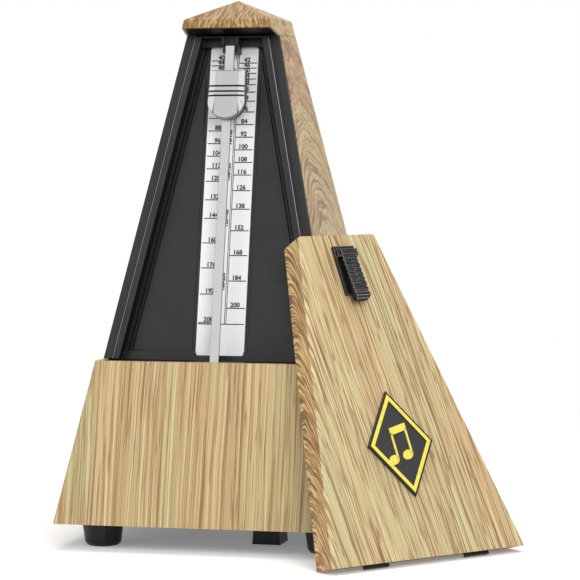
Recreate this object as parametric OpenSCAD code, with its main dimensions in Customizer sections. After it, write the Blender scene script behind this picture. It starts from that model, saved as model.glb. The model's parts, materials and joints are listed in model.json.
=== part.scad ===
// Wind-up pendulum metronome: a pyramid housing with its front cover taken off
// and leant against its right front corner. Millimetres, +Z up, front towards -Y.
// The origin is on the table, under the middle of the housing.

/* [Housing] */
// Width and depth of the housing at its bottom edge
base_w = 117.2; // [114:0.2:121]
// Lean of the four walls from the vertical, degrees
wall_lean = 12.08; // [11.9:0.02:12.26]
// Height of the housing's bottom edge above the table
base_z = 10; // [8:0.5:12]
// Height of the top edge of the front panel
shelf_z = 71.4; // [71:0.1:74]
// Height of the seam between the walls and the cap
seam_z = 196; // [194:0.5:198]
// How far the cap's front edge lies above the seam
eave_rise = 2.9; // [2.2:0.1:3.4]
// Height of the cap's band above its front edge
band_h = 3.3; // [2.5:0.1:5]
// Height of the pyramid on top of the band
peak_h = 7.9; // [5:0.1:12]
// Thickness of the housing's walls
wall = 2.4; // [2:0.1:2.8]
// Chamfer on the housing's corner edges
corner_c = 0.7; // [0.3:0.1:1.2]
// Thickness of the bottom plate
floor_t = 2.4; // [2:0.1:3]

/* [Feet] */
// Distance from the housing's side to a foot's centre
foot_in_x = 12; // [11.6:0.1:14.6]
// Distance from the housing's front or back to a foot's centre
foot_in_y = 16; // [12.6:0.1:18.6]
// Width of a corner foot at the top
foot_w = 11.6; // [10:0.2:13]
// Sideways place of the middle foot
mid_foot_x = 17.8; // [14:0.2:22]
// Front-to-back place of the middle foot
mid_foot_y = -22.6; // [-28:0.2:-20]

/* [Front frame] */
// Depth of the frame's flange behind the front plane, square to it
flange_d = 10.3; // [9.8:0.1:10.8]
// Thickness of the flange
flange_t = 1.4; // [1:0.1:2]
// Width of the flange, from the housing's side to the rim
flange_w = 4.1; // [3.6:0.1:4.4]
// Width of the raised rim
rim_w = 2.8; // [2.2:0.1:3.2]
// Height of the rim above the flange
rim_h = 1.5; // [0.8:0.1:1.6]
// Depth of the recess behind the flange
recess_d = 4.6; // [4:0.1:5.4]
// Thickness of the frame's walls
skin = 1.5; // [1.2:0.1:1.6]
// Height of the panels above the recess floor
panel_h = 0.5; // [0.3:0.1:0.8]

/* [Tempo scale] */
// Width of the scale plate
scale_w = 19.2; // [18:0.2:20]
// Length of the scale plate
scale_l = 121.4; // [118:0.2:122]
// Thickness of the scale plate
scale_t = 0.6; // [0.4:0.1:0.8]
// Depth of the shallow seat that the scale plate lies in
scale_seat = 0.2; // [0.1:0.05:0.3]
// Room past the scale plate's upper end, in its seat
scale_play = 0.8; // [0.3:0.1:1.5]

/* [Pendulum] */
// Distance of the pivot up the slope from table level
pivot_v = 70; // [69.4:0.1:70.4]
// Width of the pendulum rod
rod_w = 3.6; // [3:0.1:4.2]
// Thickness of the pendulum rod
rod_t = 0.8; // [0.6:0.1:0.9]
// Depth of the rod's front face behind the front plane
rod_d = 7.2; // [6.9:0.1:7.3]
// Length of the rod above its pivot
rod_up = 128; // [122:0.5:128]
// Distance from the pivot down to the middle of the lower weight
weight_drop = 42; // [40:0.5:43]
// Radius of the lower weight
weight_r = 12; // [10:0.2:12.4]
// Thickness of the lower weight
weight_t = 8; // [6:0.2:8.4]
// Radius of the pendulum arbor
arbor_r = 1.2; // [1:0.1:1.4]
// Distance from the rod's tip down to the middle of the sliding weight
bob_down = 19.8; // [16:0.2:88]
// Height of the sliding weight
bob_h = 19.3; // [17:0.1:21]
// Width of the sliding weight at its widest
bob_w = 14.8; // [13:0.1:16]
// Thickness of the sliding weight
bob_t = 3.6; // [3:0.1:3.8]

/* [Movement] */
// Width of the housing for each millimetre between the movement plates
plate_share = 2.664; // [2.45:0.01:2.79]
// Thickness of the movement plates
plate_t = 1.2; // [1:0.1:1.5]
// Front-to-back place of the mainspring barrel
barrel_y = 6; // [5:0.2:8]
// Height of the mainspring barrel's axis
barrel_z = 36; // [35.6:0.2:37]
// Radius of the mainspring barrel
barrel_r = 16.5; // [14:0.1:17.5]
// Gear module of the great wheel and its pinion
great_m = 0.7; // [0.68:0.01:0.71]
// Gear module of the second wheel and the escape pinion
second_m = 0.5; // [0.48:0.01:0.52]
// Gear module of the beat cam gear and its pinion
cam_m = 0.6; // [0.59:0.01:0.62]
// Radius of the winding arbor
wind_r = 2.5; // [2:0.1:3]
// Radius of the crown escape wheel
crown_r = 9.4; // [8.6:0.1:9.8]

/* [Bell] */
// Radius of the bell
bell_r = 15; // [13:0.2:16]
// Depth of the bell
bell_h = 9; // [7:0.2:10]
// Travel of the beat selector
selector_travel = 8; // [6:0.5:8]

/* [Cover] */
// Thickness of the cover's walls
cover_t = 2; // [1.6:0.1:2.2]
// Gap left round the cover when it is in place
cover_gap = 0.2; // [0.1:0.05:0.3]
// Half width of the diamond badge
badge_w = 15.1; // [13:0.1:16]
// Half height of the diamond badge
badge_l = 21; // [18:0.1:22]
// Width of the latch plate
latch_w = 9.8; // [9:0.1:11]
// Length of the latch plate
latch_l = 20.2; // [18:0.1:22]

/* [Cover lying off] */
// Turn of the leaning cover about the vertical, degrees
lean_turn = 49.8; // [48:0.2:51]
// Lean of the cover's front from the vertical, degrees
cover_lean = 26.3; // [25.8:0.1:27]
// How far outside the housing's right side the cover's lower rear edge stands
cover_out = 22.2; // [21.8:0.1:25.4]
// How far behind the housing's front the cover's lower rear edge stands
cover_behind = 7.2; // [3.6:0.1:7.6]

/* [Hidden] */
$fn = 48;

wood = [0.80, 0.68, 0.48];
black = [0.16, 0.16, 0.17];
steel = [0.78, 0.78, 0.80];
brass = [0.80, 0.64, 0.30];

plate_x = base_w / plate_share / 2;

// Free play between a turning shaft and its hole
run = 0.05;
// Clearance between moulded pieces that are fitted together
fit = 0.15;
slope = tan(wall_lean);
eave_z = seam_z + eave_rise;
band_z = eave_z + band_h;
peak_z = band_z + peak_h;
floor_d = flange_d + recess_d;
floor_z = base_z + floor_t;
far = 2 * base_w;
foot_x = base_w / 2 - foot_in_x;
foot_y = base_w / 2 - foot_in_y;

// Half width of the housing at height z
function half_w(z) = base_w / 2 - slope * (z - base_z);
// Place of a point v up the slope and d behind the front plane
function slope_y(v, d) = -half_w(0) + v * sin(wall_lean) + d * cos(wall_lean);
function slope_z(v, d) = v * cos(wall_lean) - d * sin(wall_lean);
// Depth d behind the front plane, as a y at height z
function y_at(z, d) = -half_w(z) + d / cos(wall_lean);
// Distance up the slope of height z at depth d
function v_at(z, d) = (z + d * sin(wall_lean)) / cos(wall_lean);
function on_circle(r, a) = [r * cos(a), r * sin(a)];

// ---- frames of reference ----

// Local x stays, local y runs up the slope and local z points out of the front
module on_slope(v = 0, d = 0, x = 0)
  translate([x, slope_y(v, d), slope_z(v, d)]) rotate([90 - wall_lean, 0, 0]) children();

// Local x runs back, local y up and local z to the right, for arbors across the housing
module across(x, at) translate([x, at[0], at[1]]) rotate([90, 0, 90]) children();

// ---- forms shared by several pieces ----

// A prism across the housing with the given outline in y and z
module side_prism(outline)
  rotate([90, 0, 90]) linear_extrude(height = far, center = true) polygon(outline);

// A slab whose half width goes from h0 at z0 to h1 at z1
module slab(z0, z1, h0, h1, turn = 0)
  rotate([0, 0, turn]) side_prism([[-h0, z0], [h0, z0], [h1, z1], [-h1, z1]]);

// The housing's outer form from z0 to z1, moved in by inset, with chamfered corners
module frustum(z0, z1, inset = 0, chamfer = 0)
  intersection_for(turn = chamfer > 0 ? [0, 45, 90, 135] : [0, 90]) {
    grow = turn % 90 == 0 ? 1 : sqrt(2);
    trim = turn % 90 == 0 ? inset : inset * sqrt(2) + chamfer;
    slab(z0, z1, grow * half_w(z0) - trim, grow * half_w(z1) - trim, turn);
  }

// The space inside the chamfers of the housing's upright corners
module corner_trim(z0, z1)
  intersection_for(turn = [45, 135])
    slab(z0, z1, sqrt(2) * half_w(z0) - corner_c, sqrt(2) * half_w(z1) - corner_c, turn);

// A layer parallel to the front, from depth d0 to d1, between heights z0 and z1,
// and edge in from the housing's two sides
module layer(d0, d1, z0, z1, edge)
  intersection() {
    slab(z0, z1, half_w(z0) - edge, half_w(z1) - edge, 90);
    side_prism([[y_at(z0, d0), z0], [y_at(z1, d0), z1], [y_at(z1, d1), z1], [y_at(z0, d1), z0]]);
  }

// A block of half width w, parallel to the front, from v0 to v1 and depth d0 to d1
module slope_block(w, v0, v1, d0, d1, x = 0)
  on_slope(v0, d1, x) translate([-w, 0, 0]) cube([2 * w, v1 - v0, d1 - d0]);

// A gear with straight-flanked clock teeth; its first tooth points along x
module gear(teeth, m, thick, bore, fat = 0.44) {
  pitch_r = teeth * m / 2;
  part = 360 / teeth;
  outline = [
    for (i = [0 : teeth - 1])
      for (p = [[-0.5 * fat - 0.05, -1.2], [-0.5 * fat, 0], [-0.28 * fat, 0.9],
                [0.28 * fat, 0.9], [0.5 * fat, 0], [0.5 * fat + 0.05, -1.2]])
        on_circle(pitch_r + p[1] * m, (i + p[0]) * part)
  ];
  difference() {
    linear_extrude(height = thick) polygon(outline);
    if (bore > 0) translate([0, 0, -1]) cylinder(r = bore, h = thick + 2);
  }
}

// A saw-toothed ratchet; its first radial face lies along x
module ratchet(teeth, r, depth, thick, bore)
  difference() {
    linear_extrude(height = thick)
      polygon([for (i = [0 : teeth - 1]) for (q = [r, r - depth]) on_circle(q, i * 360 / teeth)]);
    translate([0, 0, -1]) cylinder(r = bore, h = thick + 2);
  }

// Spokes and openings that lighten a wheel
module spokes(r0, r1, count, width, thick)
  difference() {
    translate([0, 0, -1]) cylinder(r = r1, h = thick + 2);
    translate([0, 0, -2]) cylinder(r = r0, h = thick + 4);
    for (i = [0 : count - 1])
      rotate([0, 0, i * 360 / count]) translate([0, -width / 2, -2]) cube([r1 + 1, width, thick + 4]);
  }

// ---- housing ----

boss_r = 3.2;
boss_h = 11;
boss_l = 8;
boss_at = [base_w / 2 - foot_in_x - 10.6, base_w / 2 - boss_l - 2];
housing_screw_r = 1.3;
key_stem_r = 3.8;
key_play = 0.3;
knob_r = 4;
selector_r = 1.5;

module at_four(p) for (sx = [-1, 1]) for (sy = [-1, 1]) translate([sx * p[0], sy * p[1], 0]) children();

module screw_boss()
  translate([0, 0, floor_z]) {
    cylinder(r = boss_r, h = boss_h);
  }

// Everything in front of depth d and above the front panel
module front_zone(d, z0, z1)
  side_prism([[y_at(z0, d), z0], [y_at(z1, d), z1], [-far, z1], [-far, z0]]);

module casing() color(wood)
  difference() {
    union() {
      difference() {
        frustum(base_z, seam_z, 0, corner_c);
        frustum(base_z - 1, seam_z + 1, wall);
      }
      intersection() {
        union()
          for (sx = [-1, 1]) for (sy = [-1, 1]) translate([sx * boss_at[0], sy * boss_at[1], 0]) {
            screw_boss();
            translate([-1, sy > 0 ? 0 : -boss_l, floor_z]) cube([2, boss_l, boss_h]);
          }
        frustum(base_z, seam_z, wall / 2);
      }
    }
    front_zone(flange_d + flange_t, shelf_z, seam_z + 1);
    at_four(boss_at) translate([0, 0, floor_z - 1]) cylinder(r = housing_screw_r - 0.2, h = boss_h - 1);
    across(0, [barrel_y, barrel_z]) cylinder(r = key_stem_r + key_play, h = base_w);
    across(-base_w, cam_at) cylinder(r = selector_r + 0.3, h = base_w);
  }

// The cap's outer form, moved in by inset
module cap_form(z0, inset, chamfer)
  intersection_for(turn = chamfer > 0 ? [0, 45, 90, 135] : [0, 90]) {
    grow = turn % 90 == 0 ? 1 : sqrt(2);
    trim = turn % 90 == 0 ? inset : inset * sqrt(2) + chamfer;
    drop = turn % 90 == 0 ? inset : inset + peak_h * chamfer / sqrt(2) / half_w(band_z);
    rotate([0, 0, turn]) side_prism([
      [-grow * half_w(z0) + trim, z0], [grow * half_w(z0) - trim, z0],
      [grow * half_w(band_z) - trim, band_z - inset / 2], [0, peak_z - drop],
      [-grow * half_w(band_z) + trim, band_z - inset / 2]
    ]);
  }

// The slanted plane under the cap's front, where the cover's top slips in
soffit_t = 1.5;
soffit_edge = 1;
hood_y = y_at(seam_z, flange_d);
function hood_z(y) = seam_z + (eave_z - seam_z) * (y - hood_y) / (-half_w(eave_z) - hood_y);

module under_hood()
  side_prism([[hood_y, seam_z], [-far, hood_z(-far)], [-far, seam_z - 10], [hood_y, seam_z - 10]]);

// The frame's soffit: a plate along the slanted plane, inside the cap's lower edge
module soffit(gap)
  intersection() {
    side_prism([
      [hood_y + 2, seam_z], [hood_y, seam_z], [-far, hood_z(-far)], [-far, hood_z(-far) + soffit_t + gap],
      [hood_y, seam_z + soffit_t + gap], [hood_y + 2, seam_z + soffit_t + gap]
    ]);
    frustum(seam_z - 1, band_z, soffit_edge - gap);
  }

collar_h = 4;
collar_t = 1.6;

module cap() color(wood)
  difference() {
    union() {
      difference() {
        cap_form(seam_z, 0, corner_c);
        cap_form(seam_z - 1, wall, 0);
      }
      // Collar that holds the cap inside the walls
      difference() {
        frustum(seam_z - collar_h, seam_z + collar_h, wall + fit);
        frustum(seam_z - collar_h - 1, seam_z + collar_h + 1, wall + fit + collar_t);
      }
    }
    under_hood();
    front_zone(floor_d + skin + fit, seam_z - collar_h - 1, seam_z);
    soffit(fit);
  }

module bottom_plate() color(black)
  difference() {
    frustum(base_z, floor_z, wall + fit);
    at_four(boss_at) translate([0, 0, base_z - 1]) cylinder(r = housing_screw_r + 0.1, h = floor_t + 2);
    at_four([foot_x, foot_y]) translate([0, 0, base_z - 1]) cylinder(r = peg_r, h = floor_t + 2);
    translate([mid_foot_x, mid_foot_y, base_z - 1]) cylinder(r = peg_r, h = floor_t + 2);
    for (at = flange_screws) translate([at[0], at[1], base_z + 0.6]) cylinder(r = small_screw_r, h = floor_t);
  }

housing_head_r = 2.6;
housing_head_h = 1.2;
housing_screw_in = 7;

module housing_screws() color(steel)
  at_four(boss_at) {
    translate([0, 0, base_z - housing_head_h])
      cylinder(r1 = 0.77 * housing_head_r, r2 = housing_head_r, h = housing_head_h);
    translate([0, 0, base_z]) cylinder(r = housing_screw_r - 0.25, h = floor_t + housing_screw_in);
  }

// ---- feet ----

peg_r = 2;
peg_h = 2;

// A tapered foot with a round outer corner and flat inner sides; its round corner points to -x, -y
module corner_foot() color(black)
  union() {
    hull() {
      foot_outline(1, base_z - 0.4, 0.4);
      foot_outline(0.86, 1.2, 0.4);
      foot_outline(0.74, 0, 0.2);
    }
    translate([0, 0, base_z - 0.2]) cylinder(r = peg_r, h = peg_h + 0.2);
  }

// One level of a foot; the flat inner sides stay in line as it narrows
module foot_outline(grow, z, h) {
  w = foot_w * grow;
  round_r = w * 0.7;
  keep = foot_w / 2 - 0.5 * (1 - grow) * foot_w * 0.5;
  translate([keep - w, keep - w, z]) linear_extrude(height = h)
    hull() {
      translate([round_r, round_r]) circle(r = round_r, $fn = 40);
      translate([w - 1, 0]) square([1, 1]);
      translate([0, w - 1]) square([1, 1]);
      translate([w - 1, w - 1]) square([1, 1]);
    }
}

module foot_front_left() translate([-foot_x, -foot_y, 0]) corner_foot();
module foot_front_right() translate([foot_x, -foot_y, 0]) rotate([0, 0, 90]) corner_foot();
module foot_rear_right() translate([foot_x, foot_y, 0]) rotate([0, 0, 180]) corner_foot();
module foot_rear_left() translate([-foot_x, foot_y, 0]) rotate([0, 0, 270]) corner_foot();

// The squarer foot under the middle, wider at its bottom
module middle_foot() color(black)
  translate([mid_foot_x, mid_foot_y, 0]) {
    rotate([90, 0, 0]) linear_extrude(height = 12, center = true)
      polygon([[-5.6, 0], [5.6, 0], [4.8, base_z], [-4.8, base_z]]);
    translate([0, 0, base_z - 0.2]) cylinder(r = peg_r, h = peg_h + 0.2);
  }

// ---- front frame, scale and clip ----

open_z = seam_z - 0.7;
pocket_z = seam_z - 4.4;
ledge_z = shelf_z + 3.1;
shelf_t = 1.4;
rim_in = flange_w + rim_w;
panel_edge = 9.8;
bead_edge = 8.5;
panel_in = scale_w / 2 + 1.4;
rod_slot_w = 8;
rod_slot_d = 3.2;
hook_w = 11.4;
hook_mid = 23.6;
hook_d = [wall / cos(wall_lean) + 0.35, 4.1];
scale_v = v_at(ledge_z - 1.7, floor_d);

module front_frame() color(black)
  difference() {
    union() {
      layer(flange_d, flange_d + flange_t, shelf_z, seam_z, fit);
      layer(flange_d - rim_h, flange_d + flange_t, shelf_z, seam_z, flange_w);
      layer(flange_d, floor_d + skin, shelf_z - shelf_t - 0.2, seam_z, rim_in - skin);
      soffit(0);
      // Shelf behind the front panel's top edge
      intersection() {
        frustum(shelf_z - 0.3 - shelf_t, shelf_z - 0.3, wall + fit);
        side_prism([
          [-far, 0], [y_at(shelf_z, floor_d) + 1, 0], [y_at(shelf_z, floor_d) + 1, far], [-far, far]
        ]);
      }
    }
    difference() {
      layer(flange_d - rim_h - 1, floor_d, shelf_z - 0.3, open_z, rim_in);
      // Left standing in the recess: panels, beads, the foot ledge and the bar above the scale
      difference() {
        layer(floor_d - panel_h, floor_d + 1, ledge_z, pocket_z, panel_edge);
        cube([2 * panel_in, far, far], center = true);
        translate([0, 0, far / 2]) cube([2 * panel_in, far, far], center = true);
      }
      difference() {
        layer(floor_d - panel_h / 2, floor_d + 1, ledge_z, pocket_z, bead_edge);
        layer(floor_d - panel_h, floor_d + 2, ledge_z - 1, pocket_z + 1, bead_edge + 0.6);
      }
      difference() {
        layer(floor_d - 1.6, floor_d + 1, shelf_z - 1, ledge_z, rim_in - 1);
        slope_block(scale_w / 2 + fit, scale_v - fit, scale_v + 20, floor_d - 3, floor_d);
      }
      layer(floor_d - clip_back, floor_d + 1, pocket_z, open_z + 1, rim_in - 1);
    }
    // Seat of the scale plate, which runs on under the bar
    slope_block(scale_w / 2 + fit, scale_v - fit, scale_v + scale_l + scale_play,
                floor_d - scale_t, floor_d + scale_seat);
    // Slot for the swinging rod
    slope_block(rod_slot_w, v_at(shelf_z, rod_d) - 5, v_at(shelf_z, rod_d) + 2,
                rod_d + rod_t / 2 - rod_slot_d, rod_d + rod_t / 2 + rod_slot_d);
    // Slots for the cover's two hooks
    for (s = [-1, 1])
      slope_block(hook_w / 2 + 2 * fit, v_at(shelf_z, hook_d[1]) - 5, v_at(shelf_z, hook_d[1]) + 1,
                  hook_d[0] - fit, hook_d[1] + 2 * fit, s * hook_mid);
  }

module scale_plate() color([0.86, 0.86, 0.87])
  on_slope(scale_v, floor_d + scale_seat) linear_extrude(height = scale_t) {
    corner = 1;
    hull() for (sx = [-1, 1]) for (y = [corner, scale_l - corner])
      translate([sx * (scale_w / 2 - corner), y]) circle(r = corner, $fn = 24);
  }

clip_w = 3.3;
clip_prong = 1;
clip_back = 2.2;
clip_top = v_at(open_z, flange_d - rim_h) - 0.05;
rod_top = pivot_v + rod_up;

// Block under the top bar with a prong each side of the resting rod's tip
module rod_clip() color(black) {
  back = floor_d - clip_back;
  on_slope(rod_top, back) {
    top = clip_top - rod_top;
    translate([-clip_w, -2.4, 0]) cube([2 * clip_w, top + 2.4, back - rod_d - rod_t - 0.6]);
    for (x = [-clip_w, clip_w - clip_prong])
      translate([x, 0.35, 0]) cube([clip_prong, top - 0.35, back - rod_d + 0.6]);
  }
}

// ---- pendulum ----

swing = 22;
weight_d = rod_d + rod_t / 2 - weight_t / 2;
escape_d = 31;
front_bridge_d = escape_d - 15.4;
rear_bridge_d = escape_d + crown_r + 2.6;
bridge_t = 1.2;
bridge_v = 3.2;
pallet_r = 4;
pallet_reach = crown_r - 0.7;

// The pivot's arbor with its two steel pallets, one ahead of the other
module pendulum_arbor() color(steel)
  union() {
    arbor_back = rear_bridge_d + bridge_t + 1;
    on_slope(pivot_v, arbor_back) cylinder(r = arbor_r, h = arbor_back - rod_d);
    on_slope(pivot_v, front_bridge_d - 1) cylinder(r = 2.4, h = front_bridge_d - 1 - rod_d - rod_t);
    for (s = [-1, 1])
      on_slope(pivot_v, escape_d + s * pallet_reach) rotate([0, 0, 180 + s * 52])
        translate([0, -0.3, -1]) cube([pallet_r, 0.6, 2]);
  }

rod_hub_r = 2.5;
// How far the rod's lower end stops short of the weight's edge
rod_short = 2;

module pendulum_rod() color(steel)
  on_slope(pivot_v, rod_d + rod_t)
    difference() {
      linear_extrude(height = rod_t)
        union() {
          translate([-rod_w / 2, rod_short - weight_drop - weight_r])
            square([rod_w, weight_drop + weight_r - rod_short + rod_up]);
          circle(r = rod_hub_r);
        }
      translate([0, 0, -1]) cylinder(r = arbor_r, h = rod_t + 2);
    }

module lower_weight() color([0.45, 0.45, 0.46])
  difference() {
    on_slope(pivot_v - weight_drop, weight_d + weight_t)
      rotate_extrude() polygon([[0, 0], [weight_r - 0.6, 0], [weight_r, 0.6], [weight_r, weight_t - 0.6],
                                [weight_r - 0.6, weight_t], [0, weight_t]]);
    slope_block(rod_w / 2, pivot_v - weight_drop - weight_r + rod_short, pivot_v, rod_d, rod_d + rod_t);
  }

bob_back = 0.5;
bob_d = rod_d + rod_t + bob_back - bob_t;
bob_slot = 0.05;
// The slanted strip down each side of the sliding weight's face
facet_w = 2.7;
facet_d = 0.6;
spring_t = 0.3;
bob_v = rod_top - bob_down;

// The sliding weight: nearly straight sides that widen downwards to a rounded bottom
module bob_outline(inset) {
  top_w = bob_w / 2 - 0.35 - inset;
  low_w = bob_w / 2 - inset;
  round_h = bob_h * 0.36;
  polygon(concat(
    [[-top_w, bob_h / 2 - inset], [-low_w, round_h - bob_h / 2]],
    [for (a = [190 : 10 : 350]) [low_w * cos(a), round_h - bob_h / 2 + (round_h - inset) * sin(a)]],
    [[low_w, round_h - bob_h / 2], [top_w, bob_h / 2 - inset]]
  ));
}

module sliding_weight() color(steel)
  difference() {
    on_slope(bob_v, bob_d + bob_t) {
      linear_extrude(height = bob_t - 0.4) bob_outline(0);
      linear_extrude(height = bob_t) bob_outline(0.4);
    }
    // Slanted strips down both sides of its face
    for (s = [0, 1])
      on_slope(bob_v, bob_d) mirror([s, 0, 0]) rotate([-90, 0, 0])
        linear_extrude(height = 2 * bob_h, center = true)
          polygon([[bob_w / 2 - facet_w, 0], [bob_w / 2 + 1, facet_d * (1 + 1 / facet_w)],
                   [bob_w / 2 + 1, -1], [bob_w / 2 - facet_w, -1]]);
    // Passage for the rod
    slope_block(rod_w / 2 + bob_slot, bob_v - bob_h, bob_v + bob_h,
                rod_d - bob_slot, rod_d + rod_t + bob_slot);
    // Three grooves across its face
    for (y = [6.3, 8.4, 10.1])
      slope_block(bob_w, bob_v + bob_h / 2 - y - 0.3, bob_v + bob_h / 2 - y + 0.3, bob_d - 1, bob_d + 0.5);
    // Seat for the spring in front of the rod
    slope_block(1.6, bob_v - 6, bob_v + 6, rod_d - spring_t - 2 * bob_slot, rod_d);
  }

// Leaf spring that presses on the rod's front so the weight stays where it is set
module weight_spring() color(steel)
  slope_block(1.4, bob_v - 5.6, bob_v + 5.6, rod_d - spring_t - bob_slot, rod_d - bob_slot);

// ---- movement ----

great_n = 60;
pinion_n = 10;
second_n = 50;
crown_n = 16;
cam_pinion_n = 16;
cam_gear_n = 36;
ratchet_n = 16;
barrel_at = [barrel_y, barrel_z];
escape_at = [slope_y(pivot_v, escape_d), slope_z(pivot_v, escape_d)];
// The second arbor lies where both of its gears mesh, below the line from escape to barrel
to_second = second_m * (second_n + pinion_n) / 2;
to_barrel = great_m * (great_n + pinion_n) / 2;
between = norm(barrel_at - escape_at);
along = (to_second * to_second - to_barrel * to_barrel + between * between) / (2 * between);
aside = sqrt(to_second * to_second - along * along);
heading = (barrel_at - escape_at) / between;
second_at = escape_at + along * heading + aside * [heading[1], -heading[0]];
cam_at = second_at + cam_m * (cam_pinion_n + cam_gear_n) / 2 * on_circle(1, -65);
function bearing(from, to) = atan2(to[1] - from[1], to[0] - from[0]);
// Front edge of the movement plates, just ahead of the front bridge
plate_front = slope_y(pivot_v, front_bridge_d) - 2.2;
pillar_at = [[28, 18], [plate_front + 17, 18], [28, 54], [plate_front + 4, 36.5]];
pillar_r = 2.2;
small_screw_r = 1;
second_r = 0.9;
escape_r = 0.8;
barrel_x = -9;
great_x = 6.5;
great_t = 2;
second_x = -17;
crown_x = -9.8;
potence_x = -13;
potence_arm = [-9.2, 8.2];
potence_rise = 3;
potence_foot = [-4.2, 3.8];
potence_drop = -2.6;
potence_t = 1;
potence_post_r = 1.8;
potence_posts = [for (y = potence_arm) escape_at + [y, potence_rise]];
bell_at = [20, 44];
hammer_at = [2.5, 20];
plate_top = shelf_z - 2.4;
// How far the bell's back lies to the left of the hammer
bell_back = 8;
// Left end of the second arbor, short of the wall, and what lies inwards from it
arbor_end = wall + 2.5 - half_w(second_at[1]);
cam_pinion_l = -plate_x - plate_t - 0.4 - arbor_end;
cam_x = arbor_end + selector_travel + 2.5;
hammer_x = cam_x + 2.5;
bell_x = hammer_x - bell_back;
click_len = 9;
ratchet_r = 9;
ratchet_cut = 1.6;
click_tip_r = 0.6;
click_dir = 95;
click_aim = click_dir + 75;
click_tip = barrel_at + on_circle(ratchet_r - ratchet_cut * 0.72 + click_tip_r + fit, click_dir + 5);
click_at = click_tip + on_circle(click_len, click_aim);
// The plates' feet: how far they reach outwards, and from where to where they run
flange_l = 7;
flange_y = [-16, 29];
flange_screws = [
  for (s = [-1, 1]) for (y = flange_y + [4, -5]) [s * (plate_x + plate_t + flange_l / 2), y]
];

// Outline of a movement plate, in y and z
plate_outline = [
  [plate_front + 13, floor_z], [33, floor_z], [33, 58], [28, 62], [4, 66], [plate_front + 9, plate_top],
  [plate_front, plate_top], [plate_front, 34], [plate_front + 3, 30], [plate_front + 11, 24]
];

module movement_plate(inner)
  difference() {
    union() {
      across(inner, [0, 0]) linear_extrude(height = plate_t) polygon(plate_outline);
      // Foot bent outwards along the bottom edge
      translate([inner > 0 ? inner : inner - flange_l, flange_y[0], floor_z])
        cube([flange_l + plate_t, flange_y[1] - flange_y[0], plate_t]);
    }
    for (p = pillar_at) across(inner - 1, p) cylinder(r = small_screw_r, h = plate_t + 2);
    across(inner - 1, barrel_at) cylinder(r = wind_r + run, h = plate_t + 2);
    across(inner - 1, second_at) cylinder(r = second_r + run, h = plate_t + 2);
    for (d = [front_bridge_d, rear_bridge_d])
      slope_block(far, pivot_v - 2.05, pivot_v + 2.05, d - run, d + bridge_t + run);
    for (at = flange_screws)
      translate([at[0], at[1], floor_z - 1]) cylinder(r = small_screw_r + 0.1, h = plate_t + 2);
    // Window that lightens the plate
    across(inner - 1, [22, 36]) linear_extrude(height = plate_t + 2)
      polygon([[0, -9], [5, -5], [6, 4], [2, 12], [0, 10]]);
  }

module left_plate() color(brass)
  difference() {
    movement_plate(-plate_x - plate_t);
    across(-plate_x - 2, escape_at) cylinder(r = escape_r + run, h = 4);
    across(-plate_x - 2, cam_at) cylinder(r = selector_r + run, h = 4);
    for (p = concat([bell_at, hammer_at], potence_posts)) across(-plate_x - 2, p) cylinder(r = post_r, h = 4);
  }

module right_plate() color(brass)
  difference() {
    movement_plate(plate_x);
    across(plate_x - 1, click_at) cylinder(r = post_r, h = 4);
  }

module movement_pillars() color(brass)
  for (p = pillar_at)
    across(-plate_x, p) difference() {
      cylinder(r = pillar_r, h = 2 * plate_x);
      for (z = [-1, 2 * plate_x - 5]) translate([0, 0, z]) cylinder(r = small_screw_r - 0.1, h = 6);
    }

// Screws into the pillar ends, and the four that hold the plates' feet
module movement_screws() color(steel) {
  for (p = pillar_at) for (s = [0, 1])
    across(0, p) rotate([0, s * 180, 0]) {
      translate([0, 0, plate_x + plate_t]) cylinder(r = 2, h = 1.1);
      translate([0, 0, plate_x - 4]) cylinder(r = small_screw_r - 0.15, h = plate_t + 4);
    }
  for (at = flange_screws) translate([at[0], at[1], floor_z + plate_t]) {
    cylinder(r = 1.9, h = 1);
    translate([0, 0, 0.8 - plate_t - floor_t])
      cylinder(r = small_screw_r - 0.05, h = plate_t + floor_t - 0.8);
  }
}

post_r = 1.2;

// Short inner plate that carries the escape arbor's right-hand end
module potence() color(brass)
  difference() {
    union() {
      across(potence_x, escape_at) linear_extrude(height = potence_t) {
        low = potence_rise - 2.5;
        high = potence_rise + 2.5;
        polygon([[potence_arm[0] - 3, low], [potence_arm[0] - 2, high], [potence_arm[1] + 2, high],
                 [potence_arm[1] + 3, low], [potence_foot[1], potence_drop],
                 [potence_foot[0], potence_drop]]);
      }
      for (p = potence_posts) {
        across(-plate_x, p) cylinder(r = potence_post_r, h = plate_x + potence_x);
        across(-plate_x - plate_t, p) cylinder(r = post_r, h = plate_t);
      }
    }
    across(potence_x - 1, escape_at) cylinder(r = escape_r + run, h = 3);
  }

// A bar between the plates with tenons through them, bored for the pendulum arbor
module bridge(d) color(brass)
  difference() {
    union() {
      slope_block(plate_x, pivot_v - bridge_v, pivot_v + bridge_v, d, d + bridge_t);
      slope_block(plate_x + plate_t, pivot_v - 2, pivot_v + 2, d, d + bridge_t);
    }
    on_slope(pivot_v, d + bridge_t + 1) cylinder(r = arbor_r + run, h = bridge_t + 2);
  }

module front_bridge() bridge(front_bridge_d);
module rear_bridge() bridge(rear_bridge_d);

barrel_bead = 0.6;
barrel_bead_l = 1.4;

// Mainspring barrel, closed by the great wheel on its right
module barrel() color(brass)
  across(barrel_x, barrel_at) difference() {
    union() {
      cylinder(r = barrel_r, h = great_x - barrel_x);
      cylinder(r = barrel_r + barrel_bead, h = barrel_bead_l);
    }
    translate([0, 0, -1]) cylinder(r = wind_r + run, h = great_x - barrel_x + 2);
  }

module great_wheel() color(brass)
  across(great_x, barrel_at) rotate([0, 0, bearing(barrel_at, second_at) + 180 / great_n])
    gear(great_n, great_m, great_t, wind_r + run);

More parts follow.
